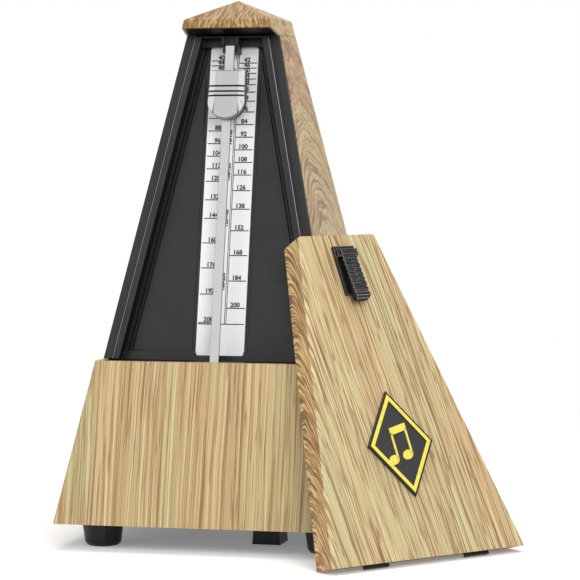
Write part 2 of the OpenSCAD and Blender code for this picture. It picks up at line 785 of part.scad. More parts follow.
module winding_arbor() color(steel)
  across(-plate_x - plate_t - 0.8, barrel_at)
    cylinder(r = wind_r, h = key_in + key_bore_l - 0.5 + plate_x + plate_t + 0.8);

module ratchet_wheel() color(steel)
  across(plate_x + plate_t + 0.5, barrel_at) rotate([0, 0, click_dir])
    ratchet(ratchet_n, ratchet_r, ratchet_cut, 2, wind_r);

// How far the key's stem reaches inwards and outwards from the housing's side
key_reach = 9;
key_in = half_w(barrel_z) - key_reach;
key_out = half_w(barrel_z) + key_reach;
key_bore_l = 6.5;
wing_r = 6.4;
wing_hole_r = 3;
wing_apart = 12;
wing_t = 2.6;

// Key with two ring-shaped wings on a round stem
module winding_key() color(steel)
  difference() {
    union() {
      across(key_in, barrel_at) cylinder(r = key_stem_r, h = key_out - key_in);
      translate([key_out + wing_r - 0.6, barrel_y, barrel_z]) rotate([90, 0, 0])
        linear_extrude(height = wing_t, center = true) difference() {
          hull() for (s = [-1, 1]) translate([0, s * wing_apart / 2]) circle(r = wing_r);
          for (s = [-1, 1]) translate([0, s * wing_apart / 2]) circle(r = wing_hole_r);
        }
    }
    across(key_in - 1, barrel_at) cylinder(r = wind_r + run, h = key_bore_l + 1);
  }

module click_post() color(steel) {
  across(plate_x, click_at) cylinder(r = post_r, h = plate_t + 2.6);
  across(plate_x + plate_t + 2.6, click_at) cylinder(r = 2, h = 0.6);
}

module click() color(steel)
  across(plate_x + plate_t + 0.5, click_at) difference() {
    union() {
      cylinder(r = 2.2, h = 2);
      linear_extrude(height = 2) hull() {
        circle(r = 1.4);
        rotate([0, 0, click_aim + 180]) translate([click_len, 0]) circle(r = click_tip_r);
      }
    }
    translate([0, 0, -1]) cylinder(r = post_r + run, h = 4);
  }

module second_arbor() color(steel)
  union() {
    across(arbor_end, second_at) cylinder(r = second_r, h = plate_x + plate_t + 0.6 - arbor_end);
    across(great_x - 1, second_at) rotate([0, 0, bearing(second_at, barrel_at)])
      gear(pinion_n, great_m, great_t + 2, 0, 0.36);
    across(arbor_end, second_at) rotate([0, 0, bearing(second_at, cam_at)])
      gear(cam_pinion_n, cam_m, cam_pinion_l, 0, 0.38);
  }

module second_wheel() color(brass)
  across(second_x, second_at) rotate([0, 0, bearing(second_at, escape_at) + 180 / second_n])
    difference() {
      gear(second_n, second_m, plate_t, second_r);
      spokes(3, 10.2, 5, 1.6, plate_t);
    }

module escape_arbor() color(steel)
  union() {
    across(-plate_x - plate_t - 0.5, escape_at)
      cylinder(r = escape_r, h = plate_x + plate_t + 0.5 + crown_x + crown_disc);
    across(second_x - 1, escape_at) rotate([0, 0, bearing(escape_at, second_at)])
      gear(pinion_n, second_m, 3.4, 0, 0.36);
  }

crown_tip_x = -pallet_r - 0.4;

// A flat-sided ring or disc, one facet for every quarter of a tooth
module faceted_disc(r, count, thick)
  linear_extrude(height = thick) polygon([for (i = [0 : count - 1]) on_circle(r, (i + 0.5) * 360 / count)]);

crown_rim = 1;
crown_disc = 0.9;

// Crown escape wheel; its pointed teeth face the pendulum arbor
module crown_wheel() color(brass)
  across(crown_x, escape_at) {
    depth = crown_tip_x - crown_x;
    difference() {
      union() {
        difference() {
          faceted_disc(crown_r, 4 * crown_n, depth);
          translate([0, 0, crown_disc]) faceted_disc(crown_r - crown_rim, 4 * crown_n, depth);
          // Saw-shaped gaps between the teeth
          for (i = [0 : crown_n - 1])
            rotate([0, 0, i * 360 / crown_n]) translate([crown_r - 3, 0, depth])
              rotate([90, 0, 90]) linear_extrude(height = 5)
                polygon([[-1.4, 0.5], [-1.4, 0], [1.1, -2.6], [1.5, 0], [1.5, 0.5]]);
        }
        cylinder(r = 1.8, h = 2.2);
      }
      translate([0, 0, -1]) cylinder(r = escape_r, h = 4);
    }
  }

// ---- bell and beat selector ----

module bell_post() color(steel) {
  across(bell_x - 1.6, bell_at) cylinder(r = 2.6, h = 1.6);
  across(bell_x - 1.6, bell_at) cylinder(r = post_r, h = -bell_x + 1.6 - plate_x);
  across(bell_x + 1, bell_at) cylinder(r = 2.2, h = -bell_x - 1 - plate_x - plate_t);
}

bell_flat_r = bell_r * 0.45;
bell_t = 1;

// Shallow cup, open towards the movement
module bell() color(brass)
  across(bell_x, bell_at) rotate_extrude($fn = 72) {
    curve = bell_r - bell_flat_r;
    polygon(concat(
      [[post_r, 0], [bell_flat_r, 0]],
      [for (a = [75 : -15 : 0]) [bell_flat_r + curve * cos(a), bell_h * (1 - sin(a))]],
      [[bell_r - bell_t, bell_h]],
      [for (a = [0 : 15 : 75])
        [bell_flat_r + (curve - bell_t) * cos(a), bell_t + (bell_h - bell_t) * (1 - sin(a))]],
      [[bell_flat_r, bell_t], [post_r, bell_t]]
    ));
  }

module hammer_post() color(steel) {
  across(hammer_x - 1.2, hammer_at) cylinder(r = post_r, h = -hammer_x + 1.2 - plate_x);
  across(hammer_x - 1.8, hammer_at) cylinder(r = 2, h = 0.6);
}

hammer_t = 1.6;
hammer_hub_r = 2.4;
hammer_hub_l = 3;
hammer_head_r = 2.2;
hammer_head_t = 2.8;
hammer_gap = 0.7;

// Striker arm with its head by the bell's rim and a tail under the cams
module hammer() color(steel)
  across(hammer_x, hammer_at) difference() {
    head = bell_at - hammer_at - [bell_r + hammer_head_r + hammer_gap, 0];
    tail = cam_at - hammer_at - [0, cam_r];
    union() {
      cylinder(r = hammer_hub_r, h = hammer_hub_l);
      linear_extrude(height = hammer_t) polygon([[-1.2, 0], [1.2, 0], head + [0.9, 0], head + [-0.9, 0]]);
      translate([head[0], head[1], (hammer_t - hammer_head_t) / 2])
        cylinder(r = hammer_head_r, h = hammer_head_t);
      linear_extrude(height = hammer_t)
        polygon([[0, -1.4], [0, 1.4], tail + [2, -0.4], tail + [-1, -0.4], tail + [-1, -2.2]]);
    }
    translate([0, 0, -2]) cylinder(r = post_r + run, h = 7);
  }

cam_r = 7.6;
cam_gear_t = 1.5;
knob_x = -half_w(cam_at[1]) - 1;
knob_l = 9;

module selector_rod() color(steel)
  union() {
    across(knob_x - 0.5, cam_at) cylinder(r = selector_r, h = -12 - knob_x + 0.5);
    across(knob_x - knob_l, cam_at) rotate_extrude() polygon([
      [0, 0], [knob_r - 0.8, 0], [knob_r, 0.8], [knob_r, knob_l - 3], [knob_r - 1.4, knob_l - 1.6],
      [knob_r - 1.4, knob_l], [0, knob_l]
    ]);
    for (x = [cam_x - cam_gear_t - 0.7, cam_x + 6.6]) across(x, cam_at) cylinder(r = 2.4, h = 0.6);
  }

// Four beat cams side by side, with two, three, four and six lobes
module beat_cams() color(brass)
  across(cam_x, cam_at) difference() {
    for (i = [0 : 3])
      translate([0, 0, i * 1.6]) linear_extrude(height = i == 3 ? 1.7 : 1.6) {
        lobes = [2, 3, 4, 6][i];
        circle(r = cam_r - 1.8);
        for (j = [0 : lobes - 1]) rotate([0, 0, j * 360 / lobes + 90 / lobes])
          polygon([[0, -2], [cam_r - 0.1, -0.7], [cam_r - 0.1, 0.7], [0, 2]]);
      }
    translate([0, 0, -1]) cylinder(r = selector_r + run, h = 9);
  }

module cam_gear() color(brass)
  across(cam_x - cam_gear_t, cam_at) rotate([0, 0, bearing(cam_at, second_at) + 180 / cam_gear_n])
    gear(cam_gear_n, cam_m, cam_gear_t, selector_r + run);

// ---- cover ----

cover_v = [v_at(shelf_z, 0) + cover_gap, v_at(eave_z, 0) - cover_gap];
cover_pivot = [0, y_at(shelf_z + cover_gap, flange_d - cover_gap), shelf_z + cover_gap];

// From the cover's place on the housing to where it leans
module leaning()
  translate([base_w / 2 + cover_out, cover_behind - base_w / 2, 0])
    rotate([0, 0, lean_turn]) rotate([wall_lean - cover_lean, 0, 0])
      translate(-cover_pivot) children();

// The tray's outer form: sides flush with the housing, top cut to the hood's slant
module cover_form(inset)
  difference() {
    layer(inset, flange_d - cover_gap + (inset > 0 ? 1 : 0), shelf_z + cover_gap + (inset > 0 ? inset : 0),
          eave_z - cover_gap - (inset > 0 ? 1.6 * inset : 0), inset);
    side_prism([
      [hood_y + 5, hood_z(hood_y + 5) - cover_gap - 1.2 * inset],
      [-far, hood_z(-far) - cover_gap - 1.2 * inset], [-far, far], [hood_y + 5, far]
    ]);
  }

rest_flange = 4.1;
rib_v = [96, 150];
rib_t = 1.4;
hook_down = 0.7;
hook_strip = 1.2;
hook_up = 7;
latch_gap = 5;
latch_v = [cover_v[1] - latch_gap - latch_l, cover_v[1] - latch_gap];
latch_slot_w = 2.6;
latch_pivot_v = latch_v[1] - 3.4;
latch_pivot_d = -1.9;
latch_pin_r = 0.6;
latch_pin_l = 0.8;
lever_w = 3.3;
plate_proud = 1;
plate_border = 0.35;
cheek_w = 1.2;
cheek_l = 3.2;
cheek_top = 1.1;

module cover_shell() color(wood) leaning()
  difference() {
    union() {
      difference() {
        intersection() {
          cover_form(0);
          corner_trim(shelf_z - 1, eave_z + 1);
        }
        cover_form(cover_t);
      }
      // Ribs that stiffen the front wall
      for (v = rib_v)
        slope_block(half_w(slope_z(v, 0)) - 1.5 * cover_t, v, v + rib_t, cover_t - 0.5, cover_t + rib_t);
    }
    // The top is open behind its short flange, so the cover can hang over a corner
    layer(rest_flange, flange_d + 5, seam_z - 6, eave_z + 5, cover_t + 0.5);
    slope_block(latch_slot_w / 2 + 0.3, latch_pivot_v - 3.2, latch_pivot_v + 1.8, -1, cover_t + 1);
    // Slots for the hooks in the lower wall
    for (s = [-1, 1])
      slope_block(hook_w / 2 + fit, cover_v[0] - hook_down, cover_v[0] + 2 * cover_t,
                  hook_d[0] - fit, hook_d[1] + fit, s * hook_mid);
  }

// Strip inside the cover's lower edge with the two hooks that drop behind the front panel
module cover_hooks() color(black) leaning()
  union() {
    slope_block(hook_mid + hook_w / 2 + 1, cover_v[0] + 2 * cover_t, cover_v[0] + hook_up,
                cover_t, cover_t + hook_strip);
    for (s = [-1, 1])
      slope_block(hook_w / 2, cover_v[0] - hook_down, cover_v[0] + hook_up - 1,
                  hook_d[0], hook_d[1], s * hook_mid);
  }

module latch_plate() color(black) leaning()
  difference() {
    union() {
      slope_block(latch_w / 2, latch_v[0], latch_v[1], -plate_proud, 0);
      // Raised border and the two cheeks that hold the pin's ends
      for (s = [-1, 1]) {
        slope_block(plate_border, latch_v[0], latch_v[1], -plate_proud - plate_border, 0,
                    s * (latch_w / 2 - plate_border));
        slope_block(cheek_w / 2, latch_pivot_v - cheek_l / 2, latch_pivot_v + cheek_l / 2,
                    latch_pivot_d - cheek_top, 0, s * (lever_w + fit + cheek_w / 2));
      }
    }
    slope_block(latch_slot_w / 2 + 0.3, latch_pivot_v - 3.2, latch_pivot_v + 1.8, -4, 1);
    on_slope(latch_pivot_v, latch_pivot_d) rotate([0, 90, 0])
      cylinder(r = latch_pin_r, h = 2 * (lever_w + fit + latch_pin_l), center = true);
  }

lever_low_v = latch_v[0] - 3.4;
lever_top_v = latch_v[1] - 2.2;
lever_round = 1.4;
rib_n = 9;
groove_w = 0.7;
groove_d = 0.45;
// The ribs from here to there are split into two columns, with the right one set a little higher
split_ribs = [2, 6];
split_w = 0.5;
split_rise = 0.5;

// Height of the lever's face above the cover at v up the slope
function lever_face(v) = 5.4 - 1.9 * (v - lever_low_v) / (lever_top_v - lever_low_v);
// Place up the slope of the groove below rib i
function groove_v(i) = lever_low_v + 3 + i * (lever_top_v - lever_low_v - 4) / rib_n;

// The lever's outline from the front, with round corners at its lower end
module lever_outline()
  union() {
    translate([-lever_w, lever_low_v + lever_round])
      square([2 * lever_w, lever_top_v - lever_low_v - lever_round]);
    translate([lever_round - lever_w, lever_low_v]) square([2 * (lever_w - lever_round), 2 * lever_round]);
    for (s = [-1, 1])
      translate([s * (lever_w - lever_round), lever_low_v + lever_round]) circle(r = lever_round);
  }

module latch_lever() color(black) leaning()
  difference() {
    union() {
      intersection() {
        on_slope(0, 0) rotate([0, -90, 0]) linear_extrude(height = 3 * lever_w, center = true) {
          thick = lever_face(lever_low_v);
          polygon([
            [1.5, lever_low_v + 4], [1.5, lever_top_v + 1], [lever_face(lever_top_v + 1), lever_top_v + 1],
            [thick - 0.2, lever_low_v + 1.6], [thick - 0.9, lever_low_v + 0.5],
            [thick - 2.4, lever_low_v - 0.1], [2.4, lever_low_v - 0.1], [2, lever_low_v + 0.6]
          ]);
        }
        on_slope(0, 0) translate([0, 0, 1]) linear_extrude(height = 6) lever_outline();
      }
      // Arm through the cover, with the catch that holds under the cap
      on_slope(0, 0) rotate([0, -90, 0]) linear_extrude(height = latch_slot_w, center = true)
        polygon([
          [2, latch_pivot_v - 2.2], [2, latch_pivot_v + 1], [-1, latch_pivot_v + 1],
          [-3.2, latch_pivot_v + 1], [-3.2, latch_pivot_v + 2.4], [-4.2, latch_pivot_v + 2.4],
          [-4.2, latch_pivot_v - 1.2], [-2, latch_pivot_v - 2.2]
        ]);
    }
    // Grooves between the ribs
    for (i = [0 : rib_n - 1]) {
      split = i >= split_ribs[0] && i <= split_ribs[1];
      for (s = [-1, 1]) {
        v = groove_v(i) + (split && s > 0 ? split_rise : 0);
        slope_block(lever_w / 2 + 0.5, v, v + groove_w, -lever_face(v) - 1, groove_d - lever_face(v),
                    s * (lever_w / 2 + 0.5));
      }
    }
    for (i = [split_ribs[0] : split_ribs[1] - 1])
      slope_block(split_w / 2, groove_v(i), groove_v(i + 1) + groove_w / 2,
                  -lever_face(groove_v(i)) - 1, groove_d - lever_face(groove_v(i + 1)));
    on_slope(latch_pivot_v, latch_pivot_d) rotate([0, 90, 0])
      cylinder(r = latch_pin_r + run, h = 3 * lever_w, center = true);
  }

module latch_pin() color(steel) leaning()
  on_slope(latch_pivot_v, latch_pivot_d) rotate([0, 90, 0])
    cylinder(r = latch_pin_r, h = 2 * (lever_w + fit + latch_pin_l), center = true);

badge_v = 117.5;
badge_border = 2.4;

// Diamond plate with a raised border
module badge() color([0.1, 0.1, 0.1]) leaning()
  on_slope(badge_v, 0) difference() {
    linear_extrude(height = 1.2) diamond(0);
    translate([0, 0, 0.8]) linear_extrude(height = 1) diamond(badge_border);
  }

module diamond(inset) {
  f = inset * norm([badge_w, badge_l]) / (badge_w * badge_l);
  polygon([[-badge_w * (1 - f), 0], [0, -badge_l * (1 - f)], [badge_w * (1 - f), 0], [0, badge_l * (1 - f)]]);
}

casing();
cap();
front_frame();
rod_clip();
scale_plate();
bottom_plate();
housing_screws();
foot_front_left();
foot_front_right();
foot_rear_left();
foot_rear_right();
middle_foot();
left_plate();
right_plate();
movement_pillars();
movement_screws();
potence();
front_bridge();
rear_bridge();
barrel();
great_wheel();
winding_arbor();
ratchet_wheel();
winding_key();
click();
click_post();
second_arbor();
second_wheel();
escape_arbor();
crown_wheel();
pendulum_arbor();
pendulum_rod();
lower_weight();
sliding_weight();
weight_spring();
bell();
bell_post();
hammer();
hammer_post();
selector_rod();
beat_cams();
cam_gear();
cover_shell();
cover_hooks();
latch_plate();
latch_lever();
latch_pin();
badge();
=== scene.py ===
"""Looks of the wind-up metronome: figured wood, black plastic, satin metal, the tempo scale and the badge."""

import json
import math

import bmesh
import bpy
from mathutils import Matrix, Vector


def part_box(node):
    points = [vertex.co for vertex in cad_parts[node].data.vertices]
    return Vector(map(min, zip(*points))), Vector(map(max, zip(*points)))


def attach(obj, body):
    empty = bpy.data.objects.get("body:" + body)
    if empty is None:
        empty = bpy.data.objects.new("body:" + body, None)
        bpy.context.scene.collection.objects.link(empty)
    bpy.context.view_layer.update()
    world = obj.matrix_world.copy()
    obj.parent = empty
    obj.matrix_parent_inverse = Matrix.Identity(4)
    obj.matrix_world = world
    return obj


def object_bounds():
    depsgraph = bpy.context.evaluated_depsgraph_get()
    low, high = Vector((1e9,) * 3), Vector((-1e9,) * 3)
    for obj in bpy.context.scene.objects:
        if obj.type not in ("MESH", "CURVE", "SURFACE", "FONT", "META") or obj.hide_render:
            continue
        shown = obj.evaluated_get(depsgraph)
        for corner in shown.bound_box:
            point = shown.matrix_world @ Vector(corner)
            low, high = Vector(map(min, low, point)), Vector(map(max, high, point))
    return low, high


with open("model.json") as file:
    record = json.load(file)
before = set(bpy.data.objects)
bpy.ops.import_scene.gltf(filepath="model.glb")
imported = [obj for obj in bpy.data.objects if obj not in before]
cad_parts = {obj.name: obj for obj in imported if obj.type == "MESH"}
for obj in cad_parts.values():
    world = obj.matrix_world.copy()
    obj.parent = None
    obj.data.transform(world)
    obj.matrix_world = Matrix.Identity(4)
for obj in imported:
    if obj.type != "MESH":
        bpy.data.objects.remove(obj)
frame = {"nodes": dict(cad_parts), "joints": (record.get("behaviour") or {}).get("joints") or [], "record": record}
nodes = frame["nodes"]
cad_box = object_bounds()

MM = 0.001
X_AXIS = Vector((1, 0, 0))


# ---- faces of the object that carry detail ----


class Face:
    """A flat face: a point is at (x, up the face, out of the face), in millimetres."""

    def __init__(self, origin, right, up):
        self.origin = origin
        self.right = right.normalized()
        self.up = up.normalized()
        self.out = self.right.cross(self.up)

    def at(self, x, v, out=0.0):
        return self.origin + (self.right * x + self.up * v + self.out * out) * MM

    def matrix(self, x, v, out=0.0):
        """Places something drawn in its own x, y and z, in millimetres, on the face."""
        turn = Matrix((self.right, self.up, self.out)).transposed() * MM
        return Matrix.Translation(self.at(x, v, out)) @ turn.to_4x4()


joints = {joint["name"]: joint for joint in frame["joints"]}
# Distance of the pendulum's pivot up the slope from table level, in millimetres
PIVOT_V = 70.0
slope_up = Vector(joints["tempo_slide"]["axis"])
pivot = Vector(joints["pendulum_swing"]["pos_m"])
front = Face(pivot - slope_up * PIVOT_V * MM, X_AXIS, slope_up)

# How the cover leans: its turn about the vertical, and its front's lean from it
COVER_TURN = math.radians(49.8)
COVER_LEAN = math.radians(26.3)
# The badge: its middle's height up the cover, its thickness, and how far out its sunk field lies
BADGE_V = 117.5
BADGE_THICK = 1.2
FIELD_OUT = 0.8
badge_low, badge_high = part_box("badge")
cover_spin = Matrix.Rotation(COVER_TURN, 3, "Z")
cover = Face(Vector((0, 0, 0)), cover_spin @ X_AXIS,
             cover_spin @ Vector((0, math.sin(COVER_LEAN), math.cos(COVER_LEAN))))
cover.origin = (badge_low + badge_high) / 2 - (cover.up * BADGE_V + cover.out * BADGE_THICK / 2) * MM


# ---- a short way to write shader nodes ----


def srgb(red, green, blue):
    """A colour as seen on a screen, from 0 to 255, as the shader takes it."""
    def linear(c):
        c /= 255
        return c / 12.92 if c <= 0.04045 else ((c + 0.055) / 1.055) ** 2.4
    return (linear(red), linear(green), linear(blue), 1)


class Material:
    """One procedural material. Its methods add nodes and return their output sockets."""

    def __init__(self, name, roughness=0.5, metallic=0.0, coat=0.0):
        self.data = bpy.data.materials.new(name)
        self.data.use_nodes = True
        self.tree = self.data.node_tree
        self.tree.nodes.clear()
        self.shader = self.tree.nodes.new("ShaderNodeBsdfPrincipled")
        self.shader.inputs["Roughness"].default_value = roughness
        self.shader.inputs["Metallic"].default_value = metallic
        self.shader.inputs["Coat Weight"].default_value = coat
        self.shader.inputs["Coat Roughness"].default_value = 0.25
        output = self.tree.nodes.new("ShaderNodeOutputMaterial")
        self.tree.links.new(self.shader.outputs["BSDF"], output.inputs["Surface"])
        place = self.tree.nodes.new("ShaderNodeTexCoord")
        self.point = self.vector("SCALE", place.outputs["Object"], scale=1 / MM)
        self.normal = place.outputs["Normal"]

    def put(self, kind, values, **settings):
        node = self.tree.nodes.new(kind)
        for name, value in settings.items():
            setattr(node, name, value)
        for key, value in values.items():
            if isinstance(value, bpy.types.NodeSocket):
                self.tree.links.new(value, node.inputs[key])
            else:
                node.inputs[key].default_value = value
        return node

    def vector(self, operation, *values, scale=None):
        inputs = dict(enumerate(values))
        if scale is not None:
            inputs["Scale"] = scale
        node = self.put("ShaderNodeVectorMath", inputs, operation=operation)
        return node.outputs["Value" if operation == "DOT_PRODUCT" else "Vector"]

    def math(self, operation, *values):
        node = self.put("ShaderNodeMath", dict(enumerate(values)), operation=operation)
        return node.outputs[0]

    def along(self, direction):
        return self.vector("DOT_PRODUCT", self.point, tuple(direction))

    def join(self, x, y, z=0.0):
        return self.put("ShaderNodeCombineXYZ", {0: x, 1: y, 2: z}).outputs[0]

    def noise(self, place, stretch, seed, detail=2.0, roughness=0.5):
        """Noise with so many waves per millimetre along x, y and z."""
        stretch = (*stretch, 1)[:3]
        moved = self.vector("MULTIPLY_ADD", place, stretch, (seed * 7.3, seed * 3.1, seed * 5.7))
        values = {"Vector": moved, "Scale": 1, "Detail": detail, "Roughness": roughness}
        return self.put("ShaderNodeTexNoise", values).outputs["Fac"]

    def grain(self, size, seed, detail=2.0, roughness=0.5):
        """Even noise all through the piece, with features of about size millimetres."""
        return self.noise(self.point, (1 / size,) * 3, seed, detail, roughness)

    def openness(self, reach):
        """1 in the open, less the more of the piece itself lies within reach millimetres; the materials mix
        painted shade and painted highlights by it.
        """
        values = {"Distance": reach * MM}
        node = self.put("ShaderNodeAmbientOcclusion", values, samples=8, only_local=True)
        return node.outputs["AO"]

    def sway(self, place, stretch, seed, size):
        """A smooth shift to and fro by about size millimetres."""
        centred = self.math("SUBTRACT", self.noise(place, stretch, seed), 0.5)
        return self.math("MULTIPLY", centred, 2 * size)

    def rise(self, value, low, high):
        """0 below low, 1 above high and smooth between."""
        values = {"Value": value, "From Min": low, "From Max": high}
        node = self.put("ShaderNodeMapRange", values, interpolation_type="SMOOTHSTEP")
        return node.outputs["Result"]

    def mix(self, amount, first, second):
        """The first colour where amount is 0, the second where it is 1."""
        values = {0: amount, 6: first, 7: second}
        return self.put("ShaderNodeMix", values, data_type="RGBA").outputs[2]

    def blend(self, amount, first, second):
        """As mix, for plain numbers."""
        return self.put("ShaderNodeMix", {0: amount, 2: first, 3: second}).outputs[0]

    def colour(self, value):
        self.tree.links.new(value, self.shader.inputs["Base Color"])

    def roughness(self, value, low, high):
        spread = self.put("ShaderNodeMapRange", {"Value": value, "To Min": low, "To Max": high})
        self.tree.links.new(spread.outputs["Result"], self.shader.inputs["Roughness"])

    def bump(self, height, depth):
        """Relief depth millimetres deep."""
        node = self.put("ShaderNodeBump", {"Height": height, "Distance": depth * MM})
        self.tree.links.new(node.outputs["Normal"], self.shader.inputs["Normal"])


# ---- wood ----

TAN = srgb(193, 168, 118)
GREENISH = srgb(188, 177, 125)
ROSE = srgb(204, 162, 118)
RED_BROWN = srgb(188, 134, 92)
DARK_BROWN = srgb(148, 102, 60)
HAIR_BROWN = srgb(124, 84, 44)
LIGHT = srgb(236, 222, 170)


def hairlines(m, place, stretch, seed):
    """0 along thin lines between the waves of a noise, up to 0.5 away from them."""
    return m.math("ABSOLUTE", m.math("SUBTRACT", m.noise(place, stretch, seed, detail=1), 0.5))


def layers(m, base, *stains):
    """Puts stains over a colour.

    Each is a noise, where on it the stain starts and is full, its strength and its colour.
    """
    for noise, start, full, strength, stain in stains:
        base = m.mix(m.math("MULTIPLY", m.rise(noise, start, full), strength), base, stain)
    return base


def straight_grain(m, across, along, seed, slant=0.0, broad=1.0, fine=1.0, shortness=1.0,
                   tones=(TAN, GREENISH)):
    """Upright streaks: wide bands in two tones, rosy ones, red-brown streaks and thin dark lines.

    broad and fine set how strong the wide and the thin marks are, and shortness how soon they end.
    """
    flat = m.join(across, along)
    wander, shiver = m.sway(flat, (0.03, 0.008), seed, 3.0), m.sway(flat, (0.2, 0.02), seed + 1, 0.3)
    drift = m.math("ADD", wander, shiver)
    leant = m.math("MULTIPLY_ADD", along, slant, across)
    place = m.join(m.math("ADD", leant, drift), along)
    bands = m.noise(place, (0.055, 0.004), seed + 2, detail=1)
    warmth = m.noise(place, (0.05, 0.010), seed + 6, detail=1)
    streaks = m.noise(place, (0.55, 0.005 * shortness), seed + 3, detail=2, roughness=0.6)
    lines = m.noise(place, (1.7, 0.006 * shortness), seed + 4, detail=1)
    hair = hairlines(m, place, (0.62, 0.003 * shortness), seed + 5)
    short = hairlines(m, place, (0.9, 0.015 * shortness), seed + 7)
    base = m.mix(m.rise(bands, 0.40, 0.60), *tones)
    colour = layers(
        m, base,
        (warmth, 0.48, 0.64, 0.28, ROSE),
        (streaks, 0.52, 0.66, 0.20 * broad, RED_BROWN),
        (streaks, 0.46, 0.32, 0.14 * broad, LIGHT),
        (lines, 0.47, 0.36, 0.42 * fine, LIGHT),
        (lines, 0.50, 0.60, 0.30 * broad, DARK_BROWN),
        (short, 0.05, 0.01, 0.65 * fine, DARK_BROWN),
        (hair, 0.04, 0.01, 0.62 * fine, HAIR_BROWN),
    )
    return colour, m.math("ADD", lines, hair)


# How sharply the arches on the sides bend, and the heights between which they turn into scribble
ARCH_BOW = 0.022
SCRIBBLE_FROM, SCRIBBLE_FULL = 140, 200


def arched_grain(m, across, along, seed):
    """Nested arches, as where a board is cut along its rings; scribbled near the top."""
    flat = m.join(across, along)
    bow = m.math("MULTIPLY", m.math("MULTIPLY", across, across), ARCH_BOW)
    wander, shiver = m.sway(flat, (0.05, 0.035), seed, 6.0), m.sway(flat, (0.45, 0.35), seed + 1, 0.7)
    drift = m.math("ADD", wander, shiver)
    near_top = m.rise(along, SCRIBBLE_FROM, SCRIBBLE_FULL)
    scribble = m.math("MULTIPLY", near_top, m.sway(flat, (0.35, 0.25), seed + 6, 5.0))
    ring = m.math("ADD", m.math("ADD", along, bow), m.math("ADD", drift, scribble))
    rings = m.noise(m.join(ring, 0.0), (0.13, 1), seed + 2, detail=2)
    lines = m.noise(m.join(ring, across), (0.8, 0.04), seed + 3, detail=1)
    flecks = m.noise(m.join(ring, across), (2.0, 0.5), seed + 4, detail=1)
    hair = hairlines(m, m.join(ring, across), (0.30, 0.02), seed + 5)
    base = m.mix(m.rise(rings, 0.38, 0.58), srgb(194, 180, 118), srgb(192, 160, 104))
    colour = layers(
        m, base,
        (rings, 0.54, 0.66, 0.60, srgb(176, 124, 80)),
        (lines, 0.48, 0.36, 0.45, srgb(214, 196, 142)),
        (lines, 0.52, 0.62, 0.50, srgb(168, 116, 72)),
        (flecks, 0.52, 0.64, 0.50, srgb(148, 98, 56)),
        (flecks, 0.45, 0.34, 0.40, srgb(214, 196, 142)),
        (hair, 0.05, 0.01, 0.90, srgb(136, 80, 44)),
    )
    return colour, m.math("ADD", lines, flecks)


# How far behind the front the lines on the cover's edges run level, and how sharply they bend
EDGE_LEVEL = 11.0
EDGE_CURVE = 0.15


def wavy_grain(m, across, along, seed):
    """Fine dark lines that curve down to the front, as on narrow edges; across is 0 at the front."""
    flat = m.join(across, along)
    from_level = m.math("ADD", across, EDGE_LEVEL)
    curve = m.math("MULTIPLY", m.math("MULTIPLY", from_level, from_level), EDGE_CURVE)
    wander, shiver = m.sway(flat, (0.10, 0.05), seed, 4.0), m.sway(flat, (0.45, 0.30), seed + 1, 0.7)
    drift = m.math("ADD", wander, shiver)
    ring = m.math("ADD", m.math("ADD", along, curve), drift)
    lines = m.noise(m.join(ring, across), (0.62, 0.06), seed + 2, detail=1)
    fine = m.noise(m.join(ring, across), (1.3, 0.25), seed + 3, detail=1)
    patches = m.noise(flat, (0.09, 0.05), seed + 4, detail=1)
    hair = hairlines(m, m.join(ring, across), (0.34, 0.05), seed + 6)
    base = m.mix(m.rise(patches, 0.40, 0.60), srgb(206, 164, 106), srgb(212, 182, 120))
    colour = layers(
        m, base,
        (lines, 0.46, 0.38, 0.50, srgb(230, 200, 140)),
        (lines, 0.49, 0.60, 0.50, srgb(166, 118, 64)),
        (fine, 0.46, 0.36, 0.60, srgb(232, 204, 146)),
        (fine, 0.49, 0.58, 0.85, srgb(144, 96, 46)),
        (hair, 0.07, 0.02, 0.90, srgb(108, 70, 32)),
    )
    return colour, lines


# Height at which the blotches on the cap have their own width, and how fast they widen below it
FAN_TOP = 202.0
FAN_SPREAD = -0.022


def mottled_grain(m, across, along, seed):
    """Short blotches that fan out downwards, as on the cap."""
    flat = m.join(across, along)
    fan = m.math("MULTIPLY_ADD", m.math("SUBTRACT", FAN_TOP, along), FAN_SPREAD, 1.0)
    wander, shiver = m.sway(flat, (0.12, 0.09), seed, 2.0), m.sway(flat, (0.7, 0.35), seed + 1, 0.5)
    drift = m.math("ADD", wander, shiver)
    place = m.join(m.math("ADD", m.math("MULTIPLY", across, fan), drift), along)
    blotches = m.noise(place, (0.70, 0.12), seed + 2, detail=1)
    fine = m.noise(place, (1.2, 0.32), seed + 3, detail=1)
    hair = hairlines(m, place, (0.55, 0.10), seed + 5)
    patches = m.noise(flat, (0.07, 0.05), seed + 4, detail=1)
    base = m.mix(m.rise(patches, 0.42, 0.58), srgb(160, 117, 66), srgb(160, 130, 70))
    colour = layers(
        m, base,
        (blotches, 0.46, 0.36, 0.45, srgb(204, 174, 112)),
        (blotches, 0.50, 0.62, 0.60, srgb(142, 94, 52)),
        (fine, 0.46, 0.38, 0.50, srgb(204, 174, 114)),
        (fine, 0.51, 0.60, 0.60, srgb(120, 76, 40)),
        (hair, 0.06, 0.02, 0.80, srgb(108, 64, 32)),
    )
    return colour, m.math("ADD", blotches, fine)


WOOD_COAT = 0.15


def finish_wood(m, face_grain, side_grain, on_side):
    """Lays two grains side by side under a satin lacquer."""
    m.colour(m.mix(on_side, face_grain[0], side_grain[0]))
    relief = m.blend(on_side, face_grain[1], side_grain[1])
    m.roughness(relief, 0.36, 0.50)
    m.bump(relief, 0.03)
    return m.data


